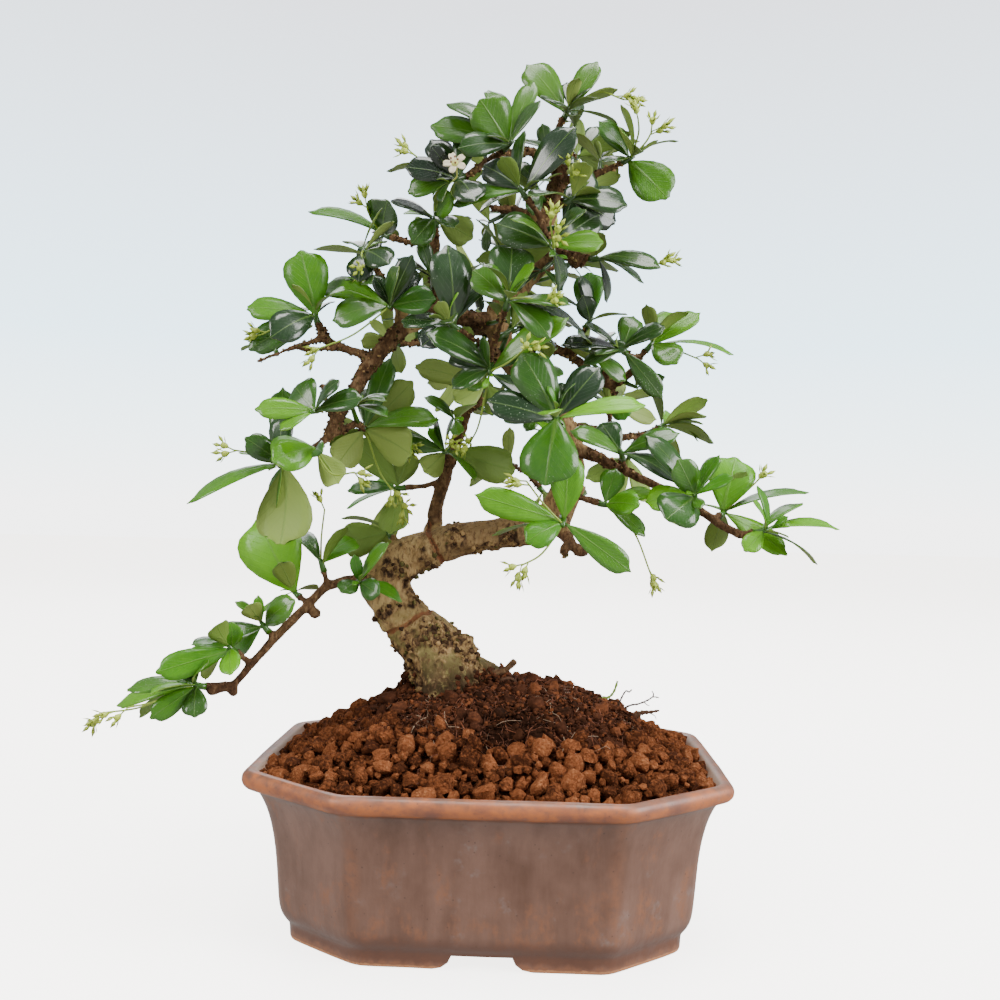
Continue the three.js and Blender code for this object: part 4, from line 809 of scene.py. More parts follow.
def make_root_ball():
    draw = random.Random(5)
    ball = copied("root_ball", "ball")
    modified(ball, "REMESH", mode="VOXEL", voxel_size=BALL["voxel"] * MM)
    modified(ball, "SMOOTH", factor=0.5, iterations=6)
    low, high = BALL["sinks"]
    for vertex in ball.data.vertices:
        vertex.co.z -= SUNK["ball"] * MM * share((vertex.co.z / MM - low) / (high - low))
    for size, strength in BALL["rough"]:
        rough = bpy.data.textures.new("peat_rough", "CLOUDS")
        rough.noise_scale, rough.noise_depth = size * MM, 2
        modified(ball, "DISPLACE", texture=rough, texture_coords="GLOBAL", strength=strength * MM,
                 mid_level=0.55)
    only(ball)
    bpy.ops.object.shade_smooth()
    marked(ball, "tint", np.full(len(ball.data.vertices), 0.35))
    finish = peat()
    finished(ball, "peat_ball", finish, "peat", "root_ball")
    places = poured(draw, LAID, "root_ball", *PEAT_POURS["clods"])
    finished(heap("clods", lump_kinds(6, 0.08, 20), places, draw, (0.6, 0.9)), "peat_clods", finish, "peat")
    places = peat_crumbs(draw) + collar_crumbs(draw)
    crumbs = heap("crumbs", lump_kinds(6, 0.14, 40, small=True), places, draw, (0.5, 0.9))
    finished(crumbs, "peat_crumbs", finish, "peat")
    places = poured(draw, LAID, "root_ball", *PEAT_POURS["strays"])
    strays = heap("strays", lump_kinds(5, 0.07, 60), places, draw, SOIL["squash"])
    finished(strays, "stray_granules", CLAY_FINISH, "granules")
    parts = []
    for _ in range(ROOTS["count"]):
        x = draw.gauss(PEAT_PATCH["x"], PEAT_PATCH["long"] * 0.42)
        y = draw.gauss(PEAT_PATCH["y"], PEAT_PATCH["deep"] * 0.5)
        root = root_fibre(draw, x, y)
        if root:
            parts.append((*root, 1.0 if draw.random() < ROOTS["white_share"] else 0.9 * draw.random()))
    finished(gathered("fibres", parts, ("tint",)), "root_fibres", fibre(), "peat")


make_root_ball()


# The wood: a trunk that leans left out of the soil, turns back right over itself and climbs in an S, with
# its branches, spurs and stubs. The bark is pale ochre, cracked into dark plates, green with algae near
# the soil, and cut across by two old scars of training wire. The youngest wood is smooth and red-brown.
BARK = {"pale": (0.58, 0.40, 0.18), "ochre": (0.36, 0.225, 0.095), "crack": (0.036, 0.019, 0.010),
        "umber": (0.125, 0.070, 0.034), "algae": (0.17, 0.16, 0.050), "young": (0.110, 0.052, 0.025),
        "twig": (0.27, 0.170, 0.085), "scar": (0.22, 0.075, 0.032), "moss": (0.075, 0.080, 0.022)}
WOOD_MESH = {"voxel": 0.75, "probe": 0.05, "reach": 40, "thickest": 20, "evened": 12}
CRUST = {  # the loose flakes of cork: on corky bark from one height up, on all thinner wood from another
    "count": 3000, "radius": (0.45, 1.45), "lift": 0.1, "lowest": 0.08, "upper": 0.165,
}
WIRE_SCARS = [  # a place on it, the way that the trunk runs there, how wide it is and how far it reaches
    ((-0.0192, 0, 0.1088), (-0.51, 0.0, 0.86), 2.3, 17), ((-0.0111, 0, 0.1376), (0.9, 0.0, 0.43), 2.6, 17),
]
GNARLS = [  # X, Y, Z and radius in millimetres of the cracked, corky patches, the last five at the back
    (-19, -8, 137.5, 5), (-26.5, -8, 127, 5.5), (-20.7, -8, 120.5, 6), (-27.7, -8, 113.5, 4.5),
    (-7.9, -8, 102, 9), (-19, -8, 103, 4), (-2.4, -8, 108, 7), (-2, -8, 141.5, 5), (3.4, -8, 96, 6),
    (-17, -8, 93, 6), (-10, -8, 90, 7), (-37, -5, 124, 4), (-15, -3, 129, 5), (-18, -3, 120, 4.5),
    (-11, -3, 134, 4), (-34.5, -3, 109, 5), (-28, -4, 96, 6), (1, -4, 105, 6), (3, -3, 136, 5),
    (12, -3, 139, 4), (-20, -5, 89, 9), (-24, -6, 94, 6), (-3, -8, 100, 7),
    (-20, 8, 125, 9), (-25, 8, 108, 9), (-8, 8, 98, 9), (0, 8, 141, 8), (-14, 8, 140, 6),
]


def bark():
    start = shading("bark")
    thick, scar, gnarl = (start.attribute(name) for name in ("thick", "scar", "gnarl"))
    mottle = start.noise(7, 4, 0.6)
    fine = start.noise(1.3, 5, 0.7, stretch=(1, 1, 0.6))
    cracks = start.noise(2.3, 4, 0.65, stretch=(1, 1, 0.55))
    shade = fine * 0.4 + mottle * 0.6
    colour = shade.ramp((0.33, BARK["umber"]), (0.45, BARK["ochre"]), (0.62, BARK["pale"]))
    height, across = start.along("Z"), start.along("X")
    algae = height.above(0.124, 0.100) * start.noise(6, 5, 0.7).above(0.36, 0.56)
    # Darker in patches at the trunk's foot, near the soil.
    dark_near_soil = height.above(0.103, 0.086) * start.noise(5, 5, 0.7).above(0.36, 0.50)
    colour = colour.to(BARK["algae"], algae * 0.75).to(BARK["crack"], dark_near_soil * 0.9)
    lines = start.noise(1.1, 4, 0.7, stretch=(1, 1, 0.35)).above(0.47, 0.38)
    colour = colour.to(BARK["umber"], lines * 0.75)
    # Darker low down on the trunk's left side.
    dark_low_left = height.above(0.100, 0.090) * (across + (mottle - 0.5) * 0.02).above(-0.013, -0.021)
    colour = colour.to(BARK["crack"], dark_low_left * 0.85)
    arm = across.above(-0.018, 0.0) * height.above(0.12, 0.13)
    colour = colour.to(BARK["umber"], arm * (mottle.above(0.35, 0.6) * 0.5 + 0.15))
    corky = cracks.ramp((0.39, BARK["crack"]), (0.46, BARK["umber"]), (0.56, BARK["ochre"]),
                        (0.74, BARK["pale"]))
    colour = colour.to(corky, gnarl.above(0.25, 0.75))
    skin = cracks * 0.6 + fine * 0.4
    skin = skin.ramp((0.38, BARK["crack"]), (0.50, BARK["young"]), (0.66, BARK["twig"]))
    colour = colour.to(skin, thick.above(4.6, 3.4) * 0.9)
    colour = colour.to(BARK["scar"], scar.above(0.1, 0.6) * fine.above(0.3, 0.5) * 0.85)
    colour = colour.to(BARK["crack"], scar.above(0.8, 1.0) * mottle.above(0.44, 0.58) * 0.7)
    bump = fine * 0.8 + cracks * (gnarl + 0.35) - lines * 0.2
    return surface(start, colour, 0.85, bump, 1.1, Specular_IOR_Level=0.15)


def crust():
    """The finish of the loose flakes: dark cork, some of it ochre or mossy."""
    start = shading("cork_flakes")
    shade = start.attribute("tint") * 0.8 + start.noise(0.9, 3, 0.6) * 0.6 - 0.35
    colour = shade.ramp((0, BARK["crack"]), (0.35, BARK["umber"]), (0.5, BARK["moss"]), (0.65, BARK["ochre"]))
    return surface(start, colour, 0.9, start.noise(0.8, 3, 0.6), 0.4, Specular_IOR_Level=0.1)


def wood_thickness(piece):
    """How far the wood reaches inward from each of its points, in millimetres, smoothed over its surface."""
    tree = BVHTree.FromObject(piece, bpy.context.evaluated_depsgraph_get())
    thick = []
    for vertex in piece.data.vertices:
        inward = -vertex.normal
        start = vertex.co + inward * WOOD_MESH["probe"] * MM
        distance = tree.ray_cast(start, inward, WOOD_MESH["reach"] * MM)[3]
        thick.append(distance / MM / 2 if distance else WOOD_MESH["thickest"])
    thick = np.array(thick)
    links = np.array([edge.vertices for edge in piece.data.edges])
    for _ in range(WOOD_MESH["evened"]):
        total, count = thick.copy(), np.ones(len(thick))
        for a, b in ((0, 1), (1, 0)):
            np.add.at(total, links[:, a], thick[links[:, b]])
            np.add.at(count, links[:, a], 1)
        thick = total / count
    return thick


def scarred(co):
    """How deep in a wire scar a point lies, from 0 to 1."""
    deep = 0
    for place, way, wide, reach in WIRE_SCARS:
        away = co - Vector(place)
        if away.length < reach * MM:
            along = away.dot(Vector(way).normalized()) / MM
            along = along + 1.1 * noise.noise(co * 150) + 0.5 * noise.noise(co * 500)
            deep = max(deep, 1 - abs(along) / (wide / 2))
    return share(1.6 * deep)


def gnarled(co):
    """How corky the bark is at a point, from 0 to 1: in the patches, and in a few strays between them."""
    edge = 0.7 * noise.noise(co * 190) + 0.5 * noise.noise(co * 520)
    co = co + 5 * MM * noise.noise_vector(co * 120)
    near = max(1 - (co - Vector((x, y, z)) * MM).length / (1.15 * radius * MM) for x, y, z, radius in GNARLS)
    patch = 1.3 * near + edge + 0.15
    stray = 3.2 * (noise.noise(co * 85 + Vector((5, 1, 8))) - 0.36) + 0.5 * edge
    return share(max(patch if near > -0.5 else 0, stray))


def relief(co, width, scar, gnarl):
    """How far the bark stands out at a point, in millimetres. The branches are the knobbliest."""
    branch = share((5.2 - width) / 2) * share((co.z - 0.15) / 0.02)
    rough = min(1, max(0.3, width / 4))
    grain = noise.fractal(Vector((co.x * 200, co.y * 200, co.z * 110)), 1.0, 2.2, 3)
    crag = noise.noise(Vector((co.x * 420, co.y * 420, co.z * 260)))
    crack = noise.noise(Vector((co.x * 330, co.y * 330, co.z * 200)))
    crag -= 1.3 * max(0, 0.2 - abs(crack)) / 0.2
    knobbly = noise.noise(co * 48 + Vector((9, 2, 4))) + 1.3 * branch * noise.noise(co * 170)
    push = rough * (0.3 * grain + 0.75 * knobbly + gnarl * (0.9 + 0.85 * crag) + 0.5 * branch * crag)
    return push - 0.75 * scar


def make_wood():
    piece = copied("trunk", "wood")
    modified(piece, "REMESH", mode="VOXEL", voxel_size=WOOD_MESH["voxel"] * MM)
    modified(piece, "SMOOTH", factor=0.5, iterations=7)
    places = [vertex.co.copy() for vertex in piece.data.vertices]
    normals = [vertex.normal.copy() for vertex in piece.data.vertices]
    thick = wood_thickness(piece)
    scars = [scarred(co) for co in places]
    gnarls = [gnarled(co) for co in places]
    for k, vertex in enumerate(piece.data.vertices):
        vertex.co = places[k] + normals[k] * relief(places[k], thick[k], scars[k], gnarls[k]) * MM
    piece.data.update()
    marked(piece, "thick", thick)
    marked(piece, "scar", scars)
    marked(piece, "gnarl", gnarls)
    only(piece)
    bpy.ops.object.shade_smooth()
    finished(piece, "bark_wood", bark(), "bark", "trunk")
    draw = random.Random(9)
    corky = [k for k, gnarl in enumerate(gnarls)
             if gnarl > 0.6 or thick[k] < 3.6 and places[k].z > CRUST["upper"]]
    corky.sort(key=lambda k: [round(c / MM, 2) for c in places[k]])
    flakes = []
    for k in draw.sample(corky, min(CRUST["count"], len(corky))):
        radius = draw.uniform(*CRUST["radius"]) * (1 if thick[k] > 4 else 0.6)
        place = piece.data.vertices[k].co + normals[k] * CRUST["lift"] * radius * MM
        if places[k].z > CRUST["lowest"]:
            flakes.append((place, radius))
    flakes = heap("flakes", lump_kinds(6, 0.2, 80, small=True), flakes, draw, (0.5, 0.8))
    finished(flakes, "cork_flakes", crust(), "bark")


make_wood()


# The leaves. Each leaf of a packed shoot is found again from its mesh, and a finer one is grown in its
# place: spoon-shaped, folded along a pale midrib, its tip rounded, dented or cut into blunt teeth. Smaller
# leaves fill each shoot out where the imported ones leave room, and short leafy spurs stand on the upper wood.
LEAF = {"wall": 0.7, "petiole": 0.42, "thick": 0.34, "jitter": 0.012, "clear": 1.45}
LEAF_ROWS = np.array([0, 0.06, 0.2, 0.36, 0.52, 0.67, 0.79, 0.88, 0.945, 0.985, 1.0])
LEAF_COLUMNS = np.array([-1, -0.52, 0, 0.52, 1])
TIPS = [  # how far each column of a leaf's end stands out or back, in shares of the leaf's length
    (0, 0, 0, 0, 0), (0, 0.006, 0.004, 0.006, 0), (0, 0.008, -0.016, 0.008, 0), (0, -0.016, 0.006, -0.016, 0),
]
FILLING = {"tries": 40, "wanted": 3, "lean": (25, 100), "long": (10, 19), "slender": (0.38, 0.5)}
TUFT = {"tries": 9, "wanted": 2, "lean": (8, 45), "long": (3.5, 8), "slender": (0.3, 0.4)}
PROBES = [(0.5, 0), (0.72, 0), (0.95, 0), (0.74, 0.32), (0.74, -0.32)]  # along a leaf and aside, in its sizes
SPURS = {"tries": 1500, "lowest": 0.163, "apart": 10, "long": (4, 9), "thick": (0.9, 0.55)}
BARE = [  # lowest and highest corners of the places that stay open, in millimetres
    ((-45, -90, 140), (28, 90, 176)), ((28, -90, 130), (75, 90, 172)), ((-62, -90, 172), (-44, -27, 200)),
    ((-52, -90, 190), (-30, -21, 214)), ((-40, -90, 206), (-12, -14, 226)),
    ((-60, -90, 203), (-34, -25, 214)), ((38, -90, 172), (86, 90, 200)), ((-62, -90, 128), (-42, 90, 168)),
    ((3, -90, 168), (22, 90, 187)), ((47, -90, 226), (63, 90, 262)), ((-58, -90, 234), (-35, 90, 264)),
]
GOLDEN_ANGLE = math.radians(137.5)
FRESH_TIPS = [  # X and Z in millimetres of the tips of the leaves that are still bright
    (20, 320), (46, 322), (4, 294), (-14, 288), (6, 305), (22, 306), (-59, 262), (-59, 242), (-78, 221),
    (46, 245), (47, 243), (102, 214), (90, 231), (81, 233), (62, 188), (36, 171), (62, 154), (98, 172),
    (129, 148), (-78, 146), (-102, 93), (72, 266), (47, 294), (-5, 261), (-47, 151),
]
# under and olive are partly painted light, brighter than the underside alone, for light shining through.
LEAF_COLOURS = {"dark": (0.0030, 0.015, 0.0035), "green": (0.012, 0.048, 0.007),
                "fresh": (0.034, 0.150, 0.002), "lime": (0.115, 0.32, 0.004), "under": (0.15, 0.25, 0.035),
                "olive": (0.34, 0.44, 0.10), "rib": (0.15, 0.27, 0.05), "speck": (0.30, 0.36, 0.26)}


def leaf_frame(points, links, chain, mates):
    """One packed leaf from the five corners round its end: where its root is, and how it lies."""
    middle = {k: (points[k] + points[mates[k]]) / 2 for k in chain}
    first, second, notch, third, last = (middle[k] for k in chain)
    up = points[chain[0]] - points[mates[chain[0]]]
    up /= np.linalg.norm(up)
    ends = set(chain) | {mates[k] for k in chain}
    upper = (links[chain[2]] & links[chain[0]]) - ends
    lower = (links[mates[chain[2]]] & links[mates[chain[0]]]) - ends
    if not upper or not lower:
        return None
    heart = (points[upper.pop()] + points[lower.pop()]) / 2
    if ((first + last) / 2 - heart).dot(up) < 0:
        up = -up
    width = np.linalg.norm(first - last) / 0.95
    side = (first - last) / np.linalg.norm(first - last)
    way = np.cross(side, up)
    way *= np.sign((notch - heart).dot(way))
    length = ((second + third) - (first + last)).dot(way) / 2 / 0.34
    arch = (heart - notch).dot(up) / (0.738 * length)
    fold = (((first + last) / 2 - heart).dot(up) + 0.0384 * arch * length) / (0.475 * width)
    root = heart - 0.52 * length * way - 0.9984 * arch * length * up
    return {"root": root, "way": way, "up": up, "length": length, "width": width, "arch": arch, "fold": fold}


def packed_leaves(node):
    """The leaves of a packed shoot, in millimetres."""
    mesh = copied(node, "shoot").data
    points = np.array([v.co for v in mesh.vertices], float) / MM
    links = {k: set() for k in range(len(points))}
    for edge in mesh.edges:
        a, b = edge.vertices
        links[a].add(b)
        links[b].add(a)
    mates = {}
    for edge in mesh.edges:
        a, b = edge.vertices
        if abs(np.linalg.norm(points[a] - points[b]) - LEAF["wall"]) < 0.004:
            mates[a], mates[b] = b, a
    bpy.data.objects.remove(bpy.data.objects["shoot"])

    def beside(a):
        span = points[a] - points[mates[a]]
        near = [b for b in links[a] & set(mates) if b != mates[a] and mates[b] in links[mates[a]]]
        return [b for b in near if np.linalg.norm(points[b] - points[mates[b]] - span) < 0.02]

    leaves, used = [], set()
    for start in mates:
        if start in used or len(beside(start)) != 1:
            continue
        chain = [start]
        while True:
            onward = [b for b in beside(chain[-1]) if b not in chain]
            if not onward:
                break
            chain.append(onward[0])
        if len(chain) == 5:
            leaf = leaf_frame(points, links, chain, mates)
            if leaf:
                leaves.append(leaf)
                used |= set(chain) | {mates[k] for k in chain}
    return leaves


def thin_sheet(middle, thick):
    """A closed sheet's points in metres and its faces, from a grid of places on it and half its thickness."""
    rows, columns, _ = middle.shape
    count, faces = rows * columns, []
    for i in range(rows - 1):
        for j in range(columns - 1):
            a = i * columns + j
            quad = (a, a + columns, a + columns + 1, a + 1)
            faces += [quad, tuple(k + count for k in reversed(quad))]
    border = list(range(columns)) + [i * columns + columns - 1 for i in range(1, rows)]
    border += [(rows - 1) * columns + j for j in reversed(range(columns - 1))]
    border += [i * columns for i in reversed(range(1, rows - 1))]
    faces += [(a, b, b + count, a + count) for a, b in zip(border, border[1:] + border[:1])]
    return np.concatenate([(middle + thick).reshape(-1, 3), (middle - thick).reshape(-1, 3)]) * MM, faces


def blade(draw, leaf, young):
    """A fine leaf: its points and faces, then how far along and aside each point lies, on which side, how
    young the leaf is, with painted light mixed in, and how light it is by chance."""
    length, width = leaf["length"], leaf["width"]
    side = np.cross(leaf["up"], leaf["way"])
    t, v = np.meshgrid(LEAF_ROWS, LEAF_COLUMNS, indexing="ij")
    reach = t ** 1.05 * (1 - t) ** 0.5 / 0.3763
    blunt = 0.26 * np.clip((t - 0.93) / 0.07, 0, 1)
    half = np.maximum(reach, blunt) * width / 2
    half *= 1 + LEAF["jitter"] * np.array([draw.uniform(-1, 1) for _ in LEAF_ROWS])[:, None] * (t > 0.6)
    half = np.maximum(half, LEAF["petiole"] * min(1, length / 12))
    ending = np.clip((t - 0.86) / 0.14, 0, 1)
    along = t + ending * (np.array(draw.choice(TIPS)) - 0.055 * v ** 2 + 0.012)
    hang, wave, phase = draw.uniform(-0.02, 0.07), draw.uniform(0.01, 0.05), draw.uniform(0, 6.3)
    height = 4 * leaf["arch"] * length * t * (1 - t) - hang * length * t ** 3
    height += leaf["fold"] * (np.sqrt(v ** 2 + 0.02) - 0.14) * half * draw.uniform(0.8, 1.3)
    height += half * (wave * v * np.sin(7 * t + phase) - draw.uniform(0.05, 0.22) * v ** 4)
    roll = draw.uniform(-0.25, 0.25) * t ** 2
    height += v * half * np.sin(roll)
    sheet = (leaf["root"] + (along * length)[..., None] * leaf["way"]
             + (v * half * np.cos(roll))[..., None] * side + height[..., None] * leaf["up"])
    thick = LEAF["thick"] * (1 - 0.4 * np.abs(v))[..., None] * leaf["up"] / 2
    along, aside = np.tile(t.ravel(), 2), np.tile((v * half).ravel(), 2) / half.max()
    return *thin_sheet(sheet, thick), along, aside, np.repeat([0.0, 1.0], t.size), young, draw.random()


def probes(leaf):
    """A few places on a leaf, in metres, to keep it clear of the others by."""
    side = np.cross(leaf["up"], leaf["way"])
    return [Vector((leaf["root"] + leaf["way"] * leaf["length"] * along + side * leaf["width"] * out) * MM)
            for along, out in PROBES]


def hub_of(leaves):
    """The place where a shoot's leaves meet, the wood next to it, and the way that its stem points."""
    hub = np.mean([leaf["root"] for leaf in leaves], axis=0)
    wood = np.array(WOOD.find_nearest(Vector(hub * MM))[0]) / MM
    return hub, wood, (hub - wood) / np.linalg.norm(hub - wood)


def in_gap(place):
    """Whether a place in metres lies in a gap that stays open."""
    return any(all(a < c / MM < b for a, b, c in zip(low, high, place)) for low, high in BARE)


def frame_round(way, guide=(0.23, 0.31, 0.92)):
    """Two directions square to a third, and to each other."""
    side = np.cross(way, guide)
    side /= np.linalg.norm(side)
    return side, np.cross(way, side)


def turned_out(frame_of_way, turn):
    """The direction square to a third that lies at that angle round it."""
    side, over = frame_of_way
    return side * math.cos(turn) + over * math.sin(turn)


def grown(draw, hub, axis, crowd, rule, spacing=1.0):
    """More leaves round a hub at the golden angle, each kept only if it is clear of all the others."""
    square = frame_round(axis, (0.31, 0.22, 0.93))
    leaves, turn = [], draw.uniform(0, 6.3)
    for _ in range(rule["tries"]):
        turn += GOLDEN_ANGLE
        lean = math.radians(draw.uniform(*rule["lean"]))
        way = axis * math.cos(lean) + turned_out(square, turn) * math.sin(lean)
        way = way + (0, 0, 0.15)
        way /= np.linalg.norm(way)
        face = axis * 0.6 + (draw.uniform(-0.3, 0.3), draw.uniform(-0.7, 0.1), 0.8)
        up = face - way * face.dot(way)
        up /= np.linalg.norm(up)
        length = draw.uniform(*rule["long"])
        leaf = {"root": hub + axis * draw.uniform(0, 2.2) + way * 0.5, "way": way, "up": up, "length": length,
                "width": length * draw.uniform(*rule["slender"]), "arch": draw.uniform(0.03, 0.11),
                "fold": draw.uniform(0.14, 0.4)}
        spots = probes(leaf)
        if any(WOOD.find_nearest(spot, 1.6 * MM)[0] for spot in spots[:3]) or any(map(in_gap, spots)):
            continue
        if all(crowd.clear(spot, LEAF["clear"] * spacing, 1) for spot in spots):
            leaves.append(leaf)
            for spot in spots:
                crowd.add(spot, LEAF["clear"] * spacing)
        if len(leaves) == rule["wanted"]:
            break
    return leaves


def is_fresh(leaf):
    x, _, z = leaf["root"] + leaf["way"] * leaf["length"]
    return any(math.hypot(x - tip_x, z - tip_z) < 3 for tip_x, tip_z in FRESH_TIPS)


def youth_and_painted_light(draw, leaf, packed=False):
    """How young a leaf is, with painted light mixed in: old and dark high up, more often bright on the low and
    the outer shoots, where the extra brightness is painted light, and a little darker for the fresh leaves at
    the very top, as painted shade.
    """
    x, _, z = leaf["root"] + leaf["way"] * leaf["length"]
    low = share(max((205 - z) / 45, (x - 50) / 40, (-30 - x) / 40))
    if packed and is_fresh(leaf):
        return 0.95 - 0.3 * share((z - 270) / 40)
    if packed:
        return min(1, 0.7 * draw.random() ** 3 + low * draw.uniform(0, 0.8))
    return draw.uniform(0.6, 1.0) if draw.random() < 0.1 + 0.35 * low else draw.uniform(0, 0.25) + 0.35 * low


def spur_spots(draw, hubs):
    """Places on the upper wood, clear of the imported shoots, where a short leafy spur grows."""
    faces = [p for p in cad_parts["trunk"].data.polygons if p.center.z > SPURS["lowest"]]
    taken, spots = [Vector(hub * MM) for hub in hubs], []
    for _ in range(SPURS["tries"]):
        face = draw.choice(faces)
        place = face.center.copy()
        if in_gap(place) or any((place - other).length < SPURS["apart"] * MM for other in taken):
            continue
        taken.append(place)
        way = np.array(face.normal) + (0, 0, 0.45)
        spots.append((np.array(place) / MM, way / np.linalg.norm(way)))
    return spots


def leaf_finish():
    start = shading("leaf")
    t, v, under = start.attribute("along"), start.attribute("aside"), start.attribute("under")
    # young carries both the leaf's age and painted light: low and outer leaves are painted brighter with it.
    tone, young = start.attribute("tone"), start.attribute("young")
    grain, pebbles = start.noise(2.4, 3, 0.6), start.noise(0.55, 2, 0.5)
    shade = tone * 0.65 + grain * 0.35
    old = shade.ramp((0.25, LEAF_COLOURS["dark"]), (0.8, LEAF_COLOURS["green"]))
    new = shade.ramp((0.2, LEAF_COLOURS["fresh"]), (0.8, LEAF_COLOURS["lime"]))
    colour = old.to(new, young)
    specks = start.cells(1.0).above(0.24, 0.12) * (1 - young) * start.noise(16, 1).above(0.57, 0.65)
    colour = colour.to(LEAF_COLOURS["speck"], specks * 0.55)
    # The underside colours are partly the leaf's paler underside and partly painted light that stands for
    # light shining through it.
    below = tone.ramp((0, LEAF_COLOURS["under"]), (1, LEAF_COLOURS["olive"]))
    # Painted light and shade: the upper sides are painted lighter low on the tree and darker high up.
    colour = colour.lit(start.along("Z").above(0.29, 0.16) * 0.65 + 0.72).to(below, under * 0.9)
    rib = (v.maths("ABSOLUTE") * (t + 0.2)).above(0.045, 0.008)
    vein = ((v.maths("ABSOLUTE") * 0.45 - t) * 62).maths("SINE").above(0.9, 1.0)
    colour = colour.to(LEAF_COLOURS["rib"], rib * 0.4 + vein * 0.03)
    bump = rib * 0.6 + vein * 0.25 + grain * 0.4 + pebbles * 0.3
    roughness, coat = under * 0.2 + young * 0.1 + 0.27, (1 - under) * (1.1 - young) * 0.8
    return surface(start, colour, roughness, bump, 0.22, coat, Specular_IOR_Level=0.35, Coat_Roughness=0.13)


def stem(foot, hub, axis, thick=(1.2, 0.65)):
    """A shoot's short green stem from its foot on the wood to past its hub."""
    path = [foot, (foot + hub) / 2 + (0, 0, -0.2), hub, hub + axis * 2.4]
    return *tube(path, [thick[0] * 1.15, thick[0], thick[0] * 0.9, thick[1]], 7), 0.5, 0.6, 0.0, 0.3, 0.5


def make_leaves():
    finish = leaf_finish()
    nodes = sorted(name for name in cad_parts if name.startswith("shoot_"))
    packed = {node: packed_leaves(node) for node in nodes}
    crowd = Laid()
    for leaf in (leaf for leaves in packed.values() for leaf in leaves):
        for spot in probes(leaf):
            crowd.add(spot, LEAF["clear"])
    marks = ("along", "aside", "under", "young", "tone")
    for number, node in enumerate(nodes):
        draw = random.Random(number)
        hub, wood, axis = hub_of(packed[node])
        parts = [blade(draw, leaf, youth_and_painted_light(draw, leaf, packed=True)) for leaf in packed[node]]
        parts += [blade(draw, leaf, youth_and_painted_light(draw, leaf)) for leaf in grown(draw, hub, axis, crowd, FILLING)]
        tuft = grown(draw, hub + axis * 2, axis, crowd, TUFT, 0.45)
        parts += [blade(draw, leaf, draw.uniform(0.5, 1)) for leaf in tuft]
        parts.append(stem(wood - axis * 0.5, hub, axis))
        finished(gathered(node, parts, marks), node.replace("shoot_", "leaves_"), finish, "foliage", node)
    draw = random.Random(77)
    parts = []
    for foot, way in spur_spots(draw, [hub_of(leaves)[0] for leaves in packed.values()]):
        hub = foot + way * draw.uniform(*SPURS["long"])
        leaves = grown(draw, hub, way, crowd, FILLING)
        leaves += grown(draw, hub + way, way, crowd, TUFT, 0.5) if leaves else []
        if leaves:
            parts += [blade(draw, leaf, youth_and_painted_light(draw, leaf)) for leaf in leaves]
            parts.append(stem(foot - way * 0.4, hub, way, SPURS["thick"]))
    finished(gathered("spurs", parts, marks), "leaves_on_spurs", finish, "foliage")
    return {node: hub_of(leaves) for node, leaves in packed.items()}


HUBS = make_leaves()


# What stands up out of the soil at the right: an arching woody root, a green seedling root with a bent
# tip, and dry forked rootlets. Each is a thin tube along listed places, in millimetres.
LOOSE_ROOTS = [  # kind, thickness at its foot and its tip, its Y, and the X and Z of its places
    ("wood", 1.0, 0.6, -3, [(32.9, 82.5), (36.3, 85), (40.4, 84.6), (45, 83.6), (48.8, 81.6), (52.6, 79.9),
                            (55.6, 77)]),
    ("wood", 0.8, 0.5, (-9, -9, -8, -8), [(12, 85), (15, 88), (19, 88.5), (22, 86)]),
    ("green", 0.6, 0.45, -3, [(45.6, 76.5), (49.6, 79.8), (52.6, 81), (55.9, 81.8), (57.8, 84.1),
                              (59, 87.9)]),
    ("green", 0.5, 0.3, -4, [(46.5, 76.5), (51.8, 80.6), (54.8, 82)]),
    ("dry", 0.4, 0.25, -3, [(58.8, 77), (60.8, 82), (62.3, 84.3), (63.4, 83.9), (64.5, 84.9)]),
    ("dry", 0.45, 0.25, -3, [(59.5, 76.5), (63.9, 78.9), (66.9, 79.5), (70.6, 81.1), (72.4, 82.3),
                             (74.7, 82.1)]),
    ("dry", 0.3, 0.2, -3, [(72.4, 82.3), (72.6, 83.4), (72, 84.5)]),
    ("dry", 0.25, 0.15, -3, [(69, 80.4), (70.4, 79.2), (71.2, 79)]),
    ("wood", 1.5, 0.4, -4, [(63, 73), (66.2, 75.4), (68.4, 76.5), (71.4, 76.8), (74.8, 77.5)]),
    ("dry", 0.25, 0.1, -4, [(70.4, 76.8), (73, 75.5), (73.7, 74.1)]),
]
ROOT_TINTS = {"wood": 0.3, "dry": 0.1, "green": 1.4}
LOOSE_COLOURS = {"dry": (0.035, 0.020, 0.012), "wood": (0.105, 0.046, 0.022), "green": (0.20, 0.32, 0.06)}


def smooth_path(places, steps=5):
    """A smooth line through places, each stretch of it a Catmull-Rom curve."""
    places = np.array(places, float)
    ends = np.concatenate([[2 * places[0] - places[1]], places, [2 * places[-1] - places[-2]]])
    path = []
    for p, q, r, s in zip(ends, ends[1:], ends[2:], ends[3:]):
        for t in np.arange(steps) / steps:
            path.append(0.5 * (2 * q + (r - p) * t + (2 * p - 5 * q + 4 * r - s) * t * t
                               + (3 * q - 3 * r + s - p) * t ** 3))
    return np.array([*path, places[-1]])


def loose_root_finish():
    start = shading("loose_root")
    tint = start.attribute("tint")
    colour = tint.ramp((0, LOOSE_COLOURS["dry"]), (0.5, LOOSE_COLOURS["wood"]))
    colour = colour.to(LOOSE_COLOURS["green"], tint.above(1.0, 1.2))
    return surface(start, colour, 0.8, start.noise(1.2, 3, 0.6), 0.5, Specular_IOR_Level=0.2)


